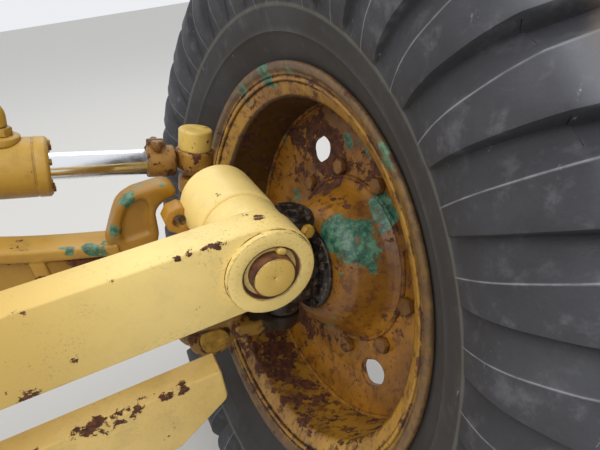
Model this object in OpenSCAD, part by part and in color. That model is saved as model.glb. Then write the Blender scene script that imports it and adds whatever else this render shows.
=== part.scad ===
// Front axle of a motor grader with leaning, steered wheels, in millimetres.
// Origin: on the centre pivot, in the plane of the wheel axles. X runs along
// the axle, +Y to the rear of the machine, +Z up. Left is +X.

/* [Pose at rest] */
// Lean of both wheels from upright, tops toward +X, degrees
lean_rest = 14.5; // [-18:0.5:18]
// Steering of both wheels from straight ahead, degrees
steer_rest = 4.7; // [-25:0.1:25]

/* [Axle beam] */
// Distance of each lower lean pin from the centre pivot
pin_x = 800; // [760:1:860]
// Drop of the lower lean pins below the centre pivot
pin_drop = 280; // [270:1:290]
// Front face of the beam's flanges
beam_front = 48; // [46:1:52]
// Width of the beam's flanges, front to back
flange_w = 52; // [50:1:60]
// Thickness of the beam's flanges
flange_t = 18; // [14:1:22]
// Thickness of the beam's web
web_t = 16; // [12:1:24]
// Outer radius of the eye that carries a lower lean pin
eye_r = 56; // [50:1:58]
// Bore radius of the centre pivot
pivot_bore_r = 38; // [30:1:45]
// Outer radius of the centre pivot boss
pivot_boss_r = 84; // [76:1:86]
// Height of the lower front plate
plate_h = 120; // [100:1:120]
// Thickness of the lower front plate
plate_t = 42; // [36:1:42]
// Front face of the lower front plate
plate_front = -120; // [-122:1:-118]

/* [Lean linkage] */
// Distance between the lower and the upper lean pin
link = 250; // [240:1:260]
// Radius of the upper lean pin
upper_pin_r = 28; // [25:1:30]
// Radius of the lower lean pin
lower_pin_r = 25; // [22:1:28]
// Front face of the lean bar
bar_front = -169; // [-171:1:-167]
// Thickness of the lean bar, front to back
bar_t = 47; // [42:1:49]
// Height of the lean bar above its pins' axis
bar_up = 61; // [56:1:64]
// Height of the lean bar below its pins' axis
bar_down = 49; // [44:1:54]
// Outer radius of the raised ring on the bar's eye
ring_r = 56; // [54:1:58]

/* [Kingpin and wheel] */
// Distance of the kingpin outboard of the lower lean pin
kingpin_x = 113; // [112:1:116]
// Height of the wheel's axis above the lower lean pin
wheel_z = 125; // [122:1:128]
// Distance of the wheel's middle plane outboard of the lower lean pin
wheel_x = 209; // [207:1:214]
// Radius of the kingpin
kingpin_r = 19; // [16:1:22]
// Radius over the tread at the middle of the tyre
tyre_r = 605; // [590:1:615]
// Half of the tyre's width
tyre_half = 160; // [150:1:165]
// Number of lugs on each shoulder
lugs = 40; // [32:1:44]
// Radius over the rim's flanges
rim_r = 338; // [330:1:340]
// Half of the rim's width over its flanges
rim_half = 108; // [104:1:112]
// Depth of the rim from its flanges to the inside of its barrel
rim_depth = 54; // [50:1:58]
// Radius of the circle of wheel bolts
bolt_circle_r = 167.5; // [165:0.5:170]
// Number of wheel bolts
bolts = 10; // [5:1:10]
// Number of hand holes in the disc
hand_holes = 4; // [2:1:4]

/* [Steering] */
// Distance of the steering ball outboard of the lower lean pin, wheels straight
ball_x = 22; // [20:1:28]
// Distance of the steering ball behind the kingpin
ball_y = 198; // [196:1:200]
// Distance of the tie rod's balls behind the kingpin
tie_y = 180; // [176:1:182]
// Height of the steering ball above the lower lean pin
ball_z = 258; // [256:1:262]
// Distance of the cylinder anchors from the middle of the lean bar
anchor_x = 290; // [280:1:300]
// Height of the cylinder anchors above the lean bar's pins
anchor_z = 125; // [120:1:130]
// Outer radius of the steering cylinders
steer_barrel_r = 47; // [44:1:48]
// Radius of the steering cylinders' rods
steer_rod_r = 22; // [18:1:23]

/* [Hidden] */
$fn = 72;

left = 1;
right = -1;
fit = 0.05;
body_gap = 1;
cream = "#E9D79A";
yellow = "#C99A35";
rust = "#8A5A34";
rubber = "#3C3D44";
chrome = "#C8CCD0";
black = "#1D1B19";

// Sine and cosine of the lean, and the lean bar's place in it
lean_s = sin(lean_rest);
lean_c = cos(lean_rest);
bar_x = link * lean_s;
bar_z = link * lean_c - pin_drop;

// Yoke, front to back and up its height
yoke_front = -69;
yoke_rear = 43;
boss_rear = 36;
boss_r = 58;
lower_boss_r = 42;
lower_boss_front = 8;
arm_half = 36;
knuckle_bottom = 54;
knuckle_top = 196;
knuckle_r = 36;
kingpin_boss_r = 37;
upper_boss_h = 34;
lower_boss_h = 28;
cap_h = 8;
bearing_gap = 3;

// Clearances between the eye, the boss behind it and the pins
bar_rear = bar_front + bar_t;
ring_face = bar_front - 8;
pin_face = ring_face - 9;
eye_recess_r = 37;
eye_recess = 17;

// Spindle and hub
spindle_r = 35;
spindle_end = wheel_x + 121;
hub_end = 128;
dish_r = 214;
spindle_flange_r = 56;
seal_r = 74;
seal_x = 150;
hub_x = 163;
disc_x = 37;
disc_t = 10;
drum_r = 148;
hole_r = 23;
hole_half = 8;
hole_circle_r = 210;
wheel_mark = 51;
barrel_in_r = rim_r - rim_depth;
bead_r = barrel_in_r + 22.6;
side_rise = tyre_r - rim_r;

// Cylinders
plate_top = plate_h / 2 - pin_drop;
barrel_start = 52;
barrel_end = 304;
steer_rod_length = 331;
rod_grip = 62;
cross_z = 140;
lean_pin = [-0.7 * pin_x, -145, -150];
lean_tube_start = 44;
lean_tube_end = 400;
lean_tube_r = 35;
lean_bore_r = 30;
lean_bore_start = 60;
lean_bore_end = 370;
piston_start = 215;
piston_t = 20;
lug_x = 0;
lug_drop = 104;
lug_rise = 10;
base_r = 28;
base_half = 19;
rod_eye_half = 16;
lean_rod_r = 15;
pin_gap = 0.3;
ball_r = 20;
tie_ball_r = 17;
open_ball_r = 13;
open_socket_r = 21;
neck_r = 10;
clamp_r = 27;

// Places: a child drawn outboard along +X comes to its side of the axle
module side(s) mirror([s < 0 ? 1 : 0, 0, 0]) children();

module at_yoke(s) {
    translate([s * pin_x, 0, -pin_drop]) rotate([0, lean_rest, 0]) side(s) children();
}

module at_knuckle(s) {
    translate([s * pin_x, 0, -pin_drop]) rotate([0, lean_rest, 0])
        translate([s * kingpin_x, 0, 0]) rotate([0, 0, steer_rest])
            side(s) translate([-kingpin_x, 0, 0]) children();
}

module at_wheel(s) at_knuckle(s) translate([wheel_x, 0, wheel_z]) children();

module at_bar() translate([bar_x, 0, bar_z]) children();

// The steering ball's centre and the cylinder's anchor on side s, in the part's frame
function turned(v, a) = [v[0] * cos(a) - v[1] * sin(a), v[0] * sin(a) + v[1] * cos(a)];
function yoke_point(s, p) = [s * pin_x + p[0] * lean_c + p[2] * lean_s, p[1],
    -pin_drop - p[0] * lean_s + p[2] * lean_c];
function arm_point(s, x, y, z) = let(v = turned([s * (x - kingpin_x), y], steer_rest))
    yoke_point(s, [s * kingpin_x + v[0], v[1], z]);
function ball(s) = arm_point(s, ball_x, ball_y, ball_z);
function anchor(s) = [bar_x + s * anchor_x, ball_y, bar_z + anchor_z];
function tie_end(s) = arm_point(s, kingpin_x, tie_y, 0);
function steer_length(s) = norm(ball(s) - anchor(s));
function rod_start(s) = steer_length(s) - rod_grip - steer_rod_length;

// A round bar along +Y from y0 to y1, centred on x and z
module rod_y(x, z, r, y0, y1) {
    translate([x, y0, z]) rotate([-90, 0, 0]) cylinder(h = y1 - y0, r = r);
}

// A plate with an outline in X and Z, from y0 to y1
module plate_y(points, y0, y1) {
    translate([0, y1, 0]) rotate([90, 0, 0]) linear_extrude(y1 - y0) polygon(points);
}

// A round solid about X from an outline of [radius, x]
module turned_x(points) rotate([0, 90, 0]) rotate_extrude() polygon(points);

module box(low, high) translate(low) cube(high - low);

// Axle beam: outlines in [x, z] from the middle outboard
boss_half = 96;
rib_x = [0.25 * pin_x, 0.5 * pin_x, pin_x - 202];
bracket_x = 0.5 * pin_x + 5;
bracket_t = 30;
beam_top = [[0, 92], [0.15 * pin_x, 88], [0.375 * pin_x, 60], [0.5625 * pin_x, 17],
    [pin_x - 234, -28], [pin_x - 166, -50], [pin_x - 94, -70]];
beam_bottom = [[0, -84], [0.1875 * pin_x, -90], [0.4375 * pin_x, -118],
    [0.6875 * pin_x, -168], [pin_x - 120, 54 - pin_drop], [pin_x - 48, -12 - pin_drop]];
// Cast end and its horn's pocket: [x from the lower lean pin, z]
end_outline = [[-112, -80], [-100, -52], [-88, -29], [-78, -13], [-66, -4], [-50, 1],
    [-10, 3], [4, -2], [10, -11], [7, -22], [-12, -25], [-22, -31], [-29, -39], [-32, -76],
    [-48, -110], [-54, -150], [-44, -204], [0, -pin_drop], [-48, -12 - pin_drop],
    [-120, 54 - pin_drop], [-200, -186], [-200, -60]];
pocket_outline = [[-87, -68], [-78, -38], [-68, -22], [-56, -13], [-38, -11], [-38, -30],
    [-44, -50], [-46, -68]];
beam_end = [for (p = end_outline) p + [pin_x, 0]];
horn_pocket = [for (p = pocket_outline) p + [pin_x, 0]];

function lowered(points, d) = [for (i = [len(points) - 1:-1:0]) points[i] + [0, d]];

module beam_half() {
    web_front = beam_front + (flange_w - web_t) / 2;
    beam_rear = beam_front + flange_w;
    plate_y(concat(beam_top, lowered(beam_top, -flange_t)), beam_front, beam_rear);
    plate_y(concat(beam_bottom, lowered(beam_bottom, flange_t)), beam_front, beam_rear);
    plate_y(concat(beam_top, lowered(beam_bottom, 0)), web_front, web_front + web_t);
    difference() {
        plate_y(beam_end, beam_front + 4, beam_rear - 8);
        plate_y(horn_pocket, beam_front, beam_front + 11);
    }
    for (x = rib_x)
        intersection() {
            box([x - 10, beam_front, -pin_drop], [x + 10, beam_rear, pivot_boss_r + 30]);
            plate_y(concat(beam_top, lowered(beam_bottom, 0)), beam_front, beam_rear);
        }
    rod_y(pin_x, -pin_drop, eye_r, beam_front, beam_rear + 3);
}

module axle_beam() color(yellow) difference() {
    union() {
        for (s = [left, right]) side(s) beam_half();
        rod_y(0, 0, pivot_boss_r, -boss_half, boss_half);
    }
    rod_y(0, 0, pivot_bore_r + 8, -boss_half - 1, boss_half + 1);
    for (s = [left, right]) side(s) rod_y(pin_x, -pin_drop, lower_pin_r, 0, 150);
}

module pivot_bush() color(rust) difference() {
    rod_y(0, 0, pivot_bore_r + 8, -boss_half - 3, boss_half + 3);
    rod_y(0, 0, pivot_bore_r, -boss_half - 4, boss_half + 4);
}

module front_plate() color(cream) {
    end_x = pin_x - 17;
    low = -pin_drop - plate_h / 2;
    high = -pin_drop + plate_h / 2;
    half = [[end_x - 85, low], [end_x - 4, low + 58], [end_x, low + 66], [end_x, high]];
    outline = concat(half, [for (i = [3:-1:0]) [-half[i][0], half[i][1]]]);
    plate_y(outline, plate_front, plate_front + plate_t);
}

module plate_brackets() color(yellow) for (s = [left, right]) side(s) difference() {
    translate([bracket_x, 0, -pin_drop]) rotate([90, 0, 90]) linear_extrude(bracket_t)
        polygon([[plate_front + plate_t, 10 - plate_h / 2], [plate_front + plate_t, plate_h / 2 - 16],
            [beam_front - 20, plate_h + 10], [beam_front, plate_h + 35.7],
            [beam_front + flange_w, plate_h + 32], [beam_front + flange_w, plate_h + 4],
            [20, 14 - plate_h / 2]]);
    beam_half();
}

// Bracket of the lean cylinder, on the lower plate's front face
module lean_anchor() color(cream) {
    x = lean_pin[0];
    y = lean_pin[1];
    z = lean_pin[2];
    difference() {
        union() {
            box([x - 50, plate_front - 62, plate_top - 100], [x + 50, plate_front, plate_top]);
            for (e = [-1, 1]) {
                box([x - 30, y + e * 28 - 8, plate_top], [x + 30, y + e * 28 + 8, z]);
                rod_y(x, z, 30, y + e * 28 - 8, y + e * 28 + 8);
            }
        }
        rod_y(x, z, 16, y - 60, y + 60);
    }
    rod_y(x, z, 16, y - 42, y + 42);
}

module lower_pin(s) color(rust) side(s) {
    rod_y(pin_x, -pin_drop, lower_pin_r, lower_boss_front - 10, beam_front + flange_w + 15);
    rod_y(pin_x, -pin_drop, lower_pin_r + 14, beam_front + flange_w + 3.3,
        beam_front + flange_w + 13);
}

// Bosses that hold the kingpin: [foot, height]
kingpin_bosses = [[knuckle_top + bearing_gap, upper_boss_h],
    [knuckle_bottom - bearing_gap - lower_boss_h, lower_boss_h]];
cap_foot = knuckle_top + bearing_gap + upper_boss_h;
kingpin_foot = 15;

// Yoke in its own frame: lower lean pin at the origin, +X outboard
module yoke(s) color(cream) at_yoke(s) difference() {
    union() {
        rod_y(0, link, boss_r, yoke_front, boss_rear);
        rod_y(0, 0, lower_boss_r, lower_boss_front, yoke_rear);
        intersection() {
            plate_y([[-30, 20], [34, 20], [52, 110], [52, link], [-44, link], [-44, 150]],
                yoke_front, yoke_rear);
            translate([-100, 0, 0]) rotate([90, 0, 90]) linear_extrude(200)
                polygon([[lower_boss_front, 10], [36, 10], [32, 60], [32, link],
                    [yoke_front + 14, link], [yoke_front + 14, 150], [-10, 40]]);
        }
        for (b = kingpin_bosses) {
            translate([kingpin_x, 0, b[0]]) cylinder(h = b[1], r = kingpin_boss_r);
            box([20, -arm_half, b[0]], [kingpin_x, arm_half, b[0] + b[1]]);
        }
        // Lug with the hole that locks the lean
        translate([-64, 6, link - 16]) rotate([-90, 0, 0]) cylinder(h = 30, r = 22, $fn = 8);
        box([-64, 8, link - 34], [-30, 34, link + 2]);
    }
    rod_y(0, link, upper_pin_r, yoke_front - 1, boss_rear + 1);
    rod_y(0, 0, lower_pin_r + fit, yoke_front - 1, yoke_rear + 1);
    translate([kingpin_x, 0, 0]) cylinder(h = 300, r = kingpin_r);
    rod_y(-64, link - 16, 10, -10, 50);
    // Room for the knuckle to turn in
    translate([kingpin_x, 0, knuckle_bottom - bearing_gap])
        cylinder(h = knuckle_top - knuckle_bottom + 2 * bearing_gap, r = 66);
}

module upper_pin(s) color(cream) at_yoke(s) {
    rod_y(0, link, upper_pin_r, pin_face, boss_rear + 4);
    rod_y(0, link, upper_pin_r + 8, boss_rear, boss_rear + 5);
}

module kingpin(s) color(rust) at_yoke(s) {
    translate([kingpin_x, 0, kingpin_foot])
        cylinder(h = cap_foot + cap_h - 1 - kingpin_foot, r = kingpin_r);
    translate([kingpin_x, 0, cap_foot]) cylinder(h = cap_h, r = kingpin_r + 14);
}

// Lean bar in its own frame: pins' axes at z 0
module bar_eye(s) translate([s * pin_x, 0, 0]) {
    rod_y(0, 0, ring_r, ring_face, yoke_front - body_gap);
    rod_y(0, 0, bar_up - 2, bar_front + 1, bar_rear);
}

module lean_bar() color(cream) at_bar() difference() {
    union() {
        box([-pin_x, bar_front, -bar_down], [pin_x, bar_rear, bar_up]);
        for (s = [left, right]) bar_eye(s);
    }
    for (s = [left, right]) {
        rod_y(s * pin_x, 0, upper_pin_r + fit, ring_face - 1, yoke_front);
        rod_y(s * pin_x, 0, eye_recess_r, ring_face - 1, ring_face + eye_recess);
    }
}

// Outriggers that pass over the beam and carry the steering cylinders' base pins
module outrigger() {
    inner = anchor_x - base_r - 70;
    outer = anchor_x - base_r - 14;
    back = ball_y + base_half + pin_gap;
    box([inner, bar_front + 2, bar_up], [outer, bar_rear - 2, cross_z + 4]);
    box([inner, bar_front + 2, cross_z], [outer, back + 16, cross_z + 24]);
    plate_y([[inner, anchor_z - 20], [anchor_x + 8, anchor_z - 36],
        [anchor_x + 34, anchor_z - 10], [anchor_x + 34, anchor_z + 16],
        [anchor_x + 14, cross_z + 36], [inner, cross_z + 36]], back, back + 16);
    rod_y(anchor_x, anchor_z, 24, back + 16, back + 24);
}

module bar_outriggers() color(cream) at_bar()
    for (s = [left, right]) side(s) outrigger();

// Lug under the bar for the lean cylinder's rod: two cheeks with the pin's heads
module lean_lug() color(cream) at_bar() for (e = [-1, 1]) {
    inside = lean_pin[1] + e * (rod_eye_half + pin_gap);
    outside = inside + e * 12;
    plate_y([[lug_x - 60, -bar_down], [lug_x - 26, -lug_drop], [lug_x + 26, -lug_drop],
        [lug_x + 60, -bar_down]], min(inside, outside), max(inside, outside));
    rod_y(lug_x, lug_rise - lug_drop, 20, min(outside, outside + e * 8),
        max(outside, outside + e * 8));
}

// Knuckle in the yoke's frame, wheels straight
module knuckle(s) color(rust) at_knuckle(s) difference() {
    union() {
        translate([kingpin_x, 0, knuckle_bottom])
            cylinder(h = knuckle_top - knuckle_bottom, r = knuckle_r);
        translate([kingpin_x, 0, wheel_z]) rotate([0, 90, 0])
            cylinder(h = seal_x - kingpin_x, r = spindle_flange_r);
        translate([kingpin_x, 0, wheel_z]) rotate([0, 90, 0])
            cylinder(h = spindle_end - kingpin_x, r = spindle_r);
    }
    translate([kingpin_x, 0, 0]) cylinder(h = 300, r = kingpin_r + fit);
}

module seal(s) color(black) at_knuckle(s) difference() {
    translate([0, 0, wheel_z]) {
        turned_x([[spindle_r, seal_x], [seal_r - 12, seal_x], [seal_r, seal_x + 6],
            [seal_r, hub_x - body_gap], [spindle_r, hub_x - body_gap]]);
        for (a = [3:72:291]) rotate([a, 0, 0])
            translate([seal_x - 5, spindle_flange_r + 9, 0]) rotate([0, 90, 0])
                cylinder(h = 8, r = 8, $fn = 6);
    }
    translate([kingpin_x, 0, 0]) cylinder(h = 300, r = knuckle_r + pin_gap);
}

// Arm behind the knuckle: the upper end holds the cylinder's ball, the lower the tie rod's
module bent_arm(points, w, h) {
    for (i = [0:len(points) - 2]) hull() for (p = [points[i], points[i + 1]])
        translate(p) cylinder(h = h, r = w, center = true, $fn = 32);
}

module steer_arm(s) color(yellow) at_knuckle(s) difference() {
    lug_top = ball_z - 32;
    tie_top = -34;
    union() {
        bent_arm([[kingpin_x + 6, 38, 160], [kingpin_x + 4, 118, 178],
            [66, 176, lug_top - 16], [ball_x, ball_y, lug_top - 14]], 19, 26);
        translate([ball_x, ball_y, lug_top - 28]) cylinder(h = 28, r = 27);
        translate([ball_x, ball_y, lug_top - 42]) cylinder(h = 14, r = 20, $fn = 6);
        translate([ball_x, ball_y, lug_top - 14]) cylinder(h = 32, r = neck_r);
        bent_arm([[kingpin_x + 12, 44, 92], [kingpin_x + 12, 116, -32],
            [kingpin_x, tie_y, tie_top - 16]], 16, 24);
        translate([kingpin_x, tie_y, tie_top - 28]) cylinder(h = 28, r = 24);
        translate([kingpin_x, tie_y, tie_top - 14]) cylinder(h = 14 - tie_top, r = neck_r - 1);
        if (s == right) translate([kingpin_x, tie_y, 0]) sphere(r = open_ball_r);
    }
    translate([ball_x, ball_y, ball_z]) sphere(r = ball_r + pin_gap);
    if (s == left) translate([kingpin_x, tie_y, 0]) sphere(r = tie_ball_r + pin_gap);
    translate([kingpin_x, 0, 0]) cylinder(h = 300, r = knuckle_r + pin_gap);
    translate([0, 0, wheel_z]) rotate([0, 90, 0])
        cylinder(h = seal_x + 2, r = spindle_flange_r + pin_gap);
}

// Tyre as one closed surface: rings of points about the wheel's axis, each ring following
// the section [x, radius of the lugs, depth of the grooves] from bead to bead
lug_root = rim_r + 0.266 * side_rise;
shoulder_r = rim_r + 0.7603 * side_rise;
tyre_half_section = [[rim_half - 16, bead_r + 0.4, 0], [rim_half - 8, rim_r, 0],
    [tyre_half - 19, rim_r + 0.251 * side_rise, 0], [tyre_half, rim_r + 0.532 * side_rise, 12],
    [tyre_half - 23, shoulder_r, 22], [60, tyre_r, 20]];
half_count = len(tyre_half_section);
// Stations of one lug's pitch: [share of the pitch at the lug's root, the same at the
// shoulder, 1 in the groove]
lug_stations = [[0.11, -0.11, 1], [0.17, -0.04, 0], [0.61, 0.56, 0]];
stations = len(lug_stations);

function section_point(i) = i < half_count ? [-tyre_half_section[i][0],
    tyre_half_section[i][1], tyre_half_section[i][2]]
    : tyre_half_section[2 * half_count - 1 - i];
function lug_angle(k, r) = let(s = lug_stations[k % stations],
    t = min(max((r - lug_root) / (shoulder_r - lug_root), 0), 1.3))
    360 / lugs * (floor(k / stations) + s[0] + (s[1] - s[0]) * t);

module tyre(s) color(rubber) at_wheel(s) {
    rings = lugs * stations;
    count = 2 * half_count;
    points = [for (k = [0:rings - 1]) for (i = [0:count - 1])
        let(p = section_point(i), low = p[2] * lug_stations[k % stations][2],
            r = p[1] - low, x = p[0] - sign(p[0]) * low * 0.5,
            half = i < half_count ? 0 : 180 / lugs,
            a = lug_angle(k, p[1]) + half)
        [x, -r * cos(a), r * sin(a)]];
    faces = [for (k = [0:rings - 1]) for (i = [0:count - 1])
        let(a = k * count + i, b = k * count + (i + 1) % count,
            c = ((k + 1) % rings) * count + (i + 1) % count,
            d = ((k + 1) % rings) * count + i)
        each [[a, b, c], [a, c, d]]];
    polyhedron(points, faces);
}

module rim(s) color(yellow) at_wheel(s)
    turned_x([[rim_r, -rim_half], [rim_r, -rim_half + 7], [bead_r + 3.4, -rim_half + 9],
        [bead_r, -rim_half + 16], [bead_r, rim_half - 20], [bead_r - 8.6, rim_half - 14],
        [bead_r - 8.6, rim_half], [barrel_in_r, rim_half], [barrel_in_r, -rim_half + 30],
        [barrel_in_r + 6, -rim_half + 24], [rim_r - 8, -rim_half]]);

module side_ring(s) color(rust) at_wheel(s)
    turned_x([[bead_r - 8.3, rim_half - 13], [bead_r - 0.3, rim_half - 18],
        [bead_r - 0.3, rim_half - 10], [bead_r + 7.4, rim_half - 7], [rim_r, rim_half - 7],
        [rim_r, rim_half], [bead_r - 8.3, rim_half]]);

module disc(s) color(yellow) at_wheel(s) difference() {
    turned_x([[drum_r, disc_x], [dish_r, disc_x], [barrel_in_r - 0.3, 20],
        [barrel_in_r - 0.3, 30], [dish_r + 4, disc_x + disc_t], [drum_r, disc_x + disc_t]]);
    for (i = [0:hand_holes - 1]) rotate([wheel_mark + 90 + 360 / hand_holes * i, 0, 0])
        translate([0, -hole_circle_r, 0]) {
            for (e = [-1, 1]) translate([0, 0, e * hole_half]) rotate([0, 90, 0])
                cylinder(h = 100, r = hole_r);
            box([0, -hole_r, -hole_half], [100, hole_r, hole_half]);
        }
}

// Hub: drum inboard of the disc, flange and bolts, barrel outboard
module hub(s) color(yellow) at_wheel(s) {
    x0 = hub_x - wheel_x;
    turned_x([[spindle_r + fit, x0], [76, x0], [100, x0 + 9], [118, x0 + 37],
        [138, disc_x - 8], [drum_r - 0.3, disc_x - 2], [drum_r - 0.3, disc_x + disc_t],
        [186, disc_x + disc_t], [186, disc_x + disc_t + 14], [92, disc_x + 40],
        [84, hub_end], [spindle_r + fit, hub_end]]);
    for (i = [0:bolts - 1]) rotate([wheel_mark + 360 / bolts * (i + 0.5), 0, 0])
        translate([0, -bolt_circle_r, 0]) rotate([0, 90, 0]) {
            translate([0, 0, disc_x - 12]) cylinder(h = 12, r = 15, $fn = 6);
            translate([0, 0, disc_x + disc_t + 14]) cylinder(h = 16, r = 17, $fn = 6);
        }
}

module hub_cap(s) color(yellow) at_wheel(s)
    turned_x([[0, hub_end], [74, hub_end], [74, hub_end + 8], [56, hub_end + 14],
        [52, hub_end + 30], [44, hub_end + 36], [0, hub_end + 38]]);

// Steering cylinder in its own frame: anchor at the origin, +X toward the ball
module at_steer(s) {
    d = ball(s) - anchor(s);
    translate(anchor(s)) rotate([0, 0, atan2(d[1], d[0])]) children();
}

module along_steer(s) {
    d = ball(s) - anchor(s);
    at_steer(s) rotate([0, -asin(d[2] / norm(d)), 0]) children();
}

module steer_barrel(s) color(yellow) {
    difference() {
        union() {
            translate(anchor(s)) {
                rod_y(0, 0, base_r, -base_half, base_half);
                rod_y(0, 0, 14, -base_half - 8, base_half);
            }
            along_steer(s) {
                box([10, -14, -16], [60, 14, 16]);
                rotate([0, 90, 0]) translate([0, 0, barrel_start])
                    cylinder(h = barrel_end - barrel_start, r = steer_barrel_r);
            }
        }
        along_steer(s) rotate([0, 90, 0]) {
            translate([0, 0, barrel_start + 14])
                cylinder(h = barrel_end - barrel_start - 34, r = steer_barrel_r - 8);
            translate([0, 0, barrel_start + 14])
                cylinder(h = barrel_end - barrel_start, r = steer_rod_r + fit);
        }
    }
}

// Port boss, hexagon and elbow near the gland end
module steer_port(s) color(yellow) along_steer(s) translate([barrel_end - 60, 0, 0]) {
    translate([0, 0, steer_barrel_r - 6]) difference() {
        cylinder(h = 12, r = 26);
        translate([-30, 0, 0]) rotate([0, 90, 0]) translate([steer_barrel_r - 6, 0, 0])
            cylinder(h = 60, r = steer_barrel_r + 0.3);
    }
    translate([0, 0, steer_barrel_r + 6]) cylinder(h = 12, r = 17, $fn = 6);
    translate([0, 0, steer_barrel_r + 18]) cylinder(h = 24, r = 12);
    translate([0, 0, steer_barrel_r + 42]) sphere(r = 15);
    translate([0, 0, steer_barrel_r + 42]) rotate([0, -90, 0]) cylinder(h = 40, r = 12);
}

module steer_rod(s) color(chrome) along_steer(s) rotate([0, 90, 0]) {
    translate([0, 0, rod_start(s)]) cylinder(h = 14, r = steer_barrel_r - 8 - fit);
    translate([0, 0, rod_start(s)]) cylinder(h = steer_rod_length, r = steer_rod_r);
}

// Socket end: clamp with its pinch bolt, housing and round cap
module rod_end(s) color(rust) {
    long = steer_length(s);
    difference() {
        union() {
            along_steer(s) {
                rotate([0, 90, 0]) {
                    translate([0, 0, long - 83]) cylinder(h = 47, r = clamp_r);
                    translate([0, 0, long - 60]) cylinder(h = 50, r = 19);
                }
                box([long - 81, -10, 20], [long - 53, 10, 38]);
                translate([long - 67, -24, 30]) rotate([-90, 0, 0]) cylinder(h = 48, r = 7);
            }
            translate(ball(s)) {
                translate([0, 0, -21]) cylinder(h = 15, r1 = 27, r2 = 33);
                rotate([0, lean_rest, 0]) {
                    translate([0, 0, -12]) cylinder(h = 31, r = 33);
                    translate([0, 0, 19]) cylinder(h = 37, r = 29);
                }
            }
        }
        translate(ball(s)) {
            sphere(r = ball_r + pin_gap);
            translate([0, 0, -22]) cylinder(h = 13, r1 = 23, r2 = 17.5);
        }
        along_steer(s) rotate([0, 90, 0]) translate([0, 0, long - 140])
            cylinder(h = 140 - rod_grip, r = steer_rod_r + fit);
    }
}

// Balls of the closed ball joints
module steer_ball(s) color(chrome) translate(ball(s)) sphere(r = ball_r);

module tie_ball() color(chrome) translate(tie_end(left)) sphere(r = tie_ball_r);

// Tie rod: a close socket on the left, an open one on the right
module tie_rod() color(rust) {
    a = tie_end(left);
    b = tie_end(right);
    d = b - a;
    difference() {
        union() {
            translate(a) rotate([0, -asin(d[2] / norm(d)), atan2(d[1], d[0])])
                rotate([0, 90, 0]) cylinder(h = norm(d), r = 21);
            translate(a - [0, 0, 15]) cylinder(h = 38, r = 27);
            translate(b - [0, 0, 14]) cylinder(h = 42, r = 30);
        }
        translate(a) sphere(r = tie_ball_r + pin_gap);
        translate(a - [0, 0, 60]) cylinder(h = 60, r = tie_ball_r + pin_gap);
        translate(b) sphere(r = open_socket_r);
        translate(b - [0, 0, 60]) cylinder(h = 60, r = open_socket_r + 2);
    }
}

// Lean cylinder in its own frame: pin on the plate's bracket at the origin
lug_pin = [bar_x + lug_x, lean_pin[1], bar_z + lug_rise - lug_drop];
lean_span = lug_pin - lean_pin;
lean_length = norm(lean_span);

module along_lean() translate(lean_pin)
    rotate([0, -asin(lean_span[2] / lean_length), 0]) children();

module lean_barrel() color(yellow) along_lean() difference() {
    union() {
        rod_y(0, 0, 28, -19, 19);
        box([10, -14, -14], [lean_tube_start + 6, 14, 14]);
        translate([lean_tube_start, 0, 0]) rotate([0, 90, 0])
            cylinder(h = lean_tube_end - lean_tube_start, r = lean_tube_r);
    }
    rod_y(0, 0, 16 + fit, -20, 20);
    translate([lean_bore_start, 0, 0]) rotate([0, 90, 0])
        cylinder(h = lean_bore_end - lean_bore_start, r = lean_bore_r);
    translate([lean_bore_start, 0, 0]) rotate([0, 90, 0])
        cylinder(h = lean_tube_end, r = lean_rod_r + fit);
}

module lean_rod() color(chrome) along_lean() {
    translate([piston_start, 0, 0]) rotate([0, 90, 0]) {
        cylinder(h = piston_t, r = lean_bore_r - fit);
        cylinder(h = lean_length - piston_start, r = lean_rod_r);
    }
    rod_y(lean_length, 0, 26, -rod_eye_half, rod_eye_half);
}

axle_beam();
pivot_bush();
front_plate();
plate_brackets();
lean_anchor();
lower_pin(left);  // lower_pin_left
lower_pin(right);  // lower_pin_right
yoke(left);  // yoke_left
yoke(right);  // yoke_right
upper_pin(left);  // upper_pin_left
upper_pin(right);  // upper_pin_right
kingpin(left);  // kingpin_left
kingpin(right);  // kingpin_right
lean_bar();
bar_outriggers();
lean_lug();
knuckle(left);  // knuckle_left
knuckle(right);  // knuckle_right
seal(left);  // seal_left
seal(right);  // seal_right
steer_arm(left);  // steer_arm_left
steer_arm(right);  // steer_arm_right
tyre(left);  // tyre_left
tyre(right);  // tyre_right
rim(left);  // rim_left
rim(right);  // rim_right
side_ring(left);  // side_ring_left
side_ring(right);  // side_ring_right
disc(left);  // disc_left
disc(right);  // disc_right
hub(left);  // hub_left
hub(right);  // hub_right
hub_cap(left);  // hub_cap_left
hub_cap(right);  // hub_cap_right
steer_barrel(left);  // steer_barrel_left
steer_barrel(right);  // steer_barrel_right
steer_port(left);  // steer_port_left
steer_port(right);  // steer_port_right
steer_rod(left);  // steer_rod_left
steer_rod(right);  // steer_rod_right
rod_end(left);  // rod_end_left
rod_end(right);  // rod_end_right
steer_ball(left);  // steer_ball_left
steer_ball(right);  // steer_ball_right
tie_ball();
tie_rod();
lean_barrel();
lean_rod();
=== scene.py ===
"""Looks of a motor grader's front axle with leaning, steered wheels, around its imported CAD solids."""

import math

import bmesh
import bpy
from bpy.props import FloatProperty, FloatVectorProperty, IntProperty, PointerProperty
from mathutils import Matrix, Vector, noise


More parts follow.
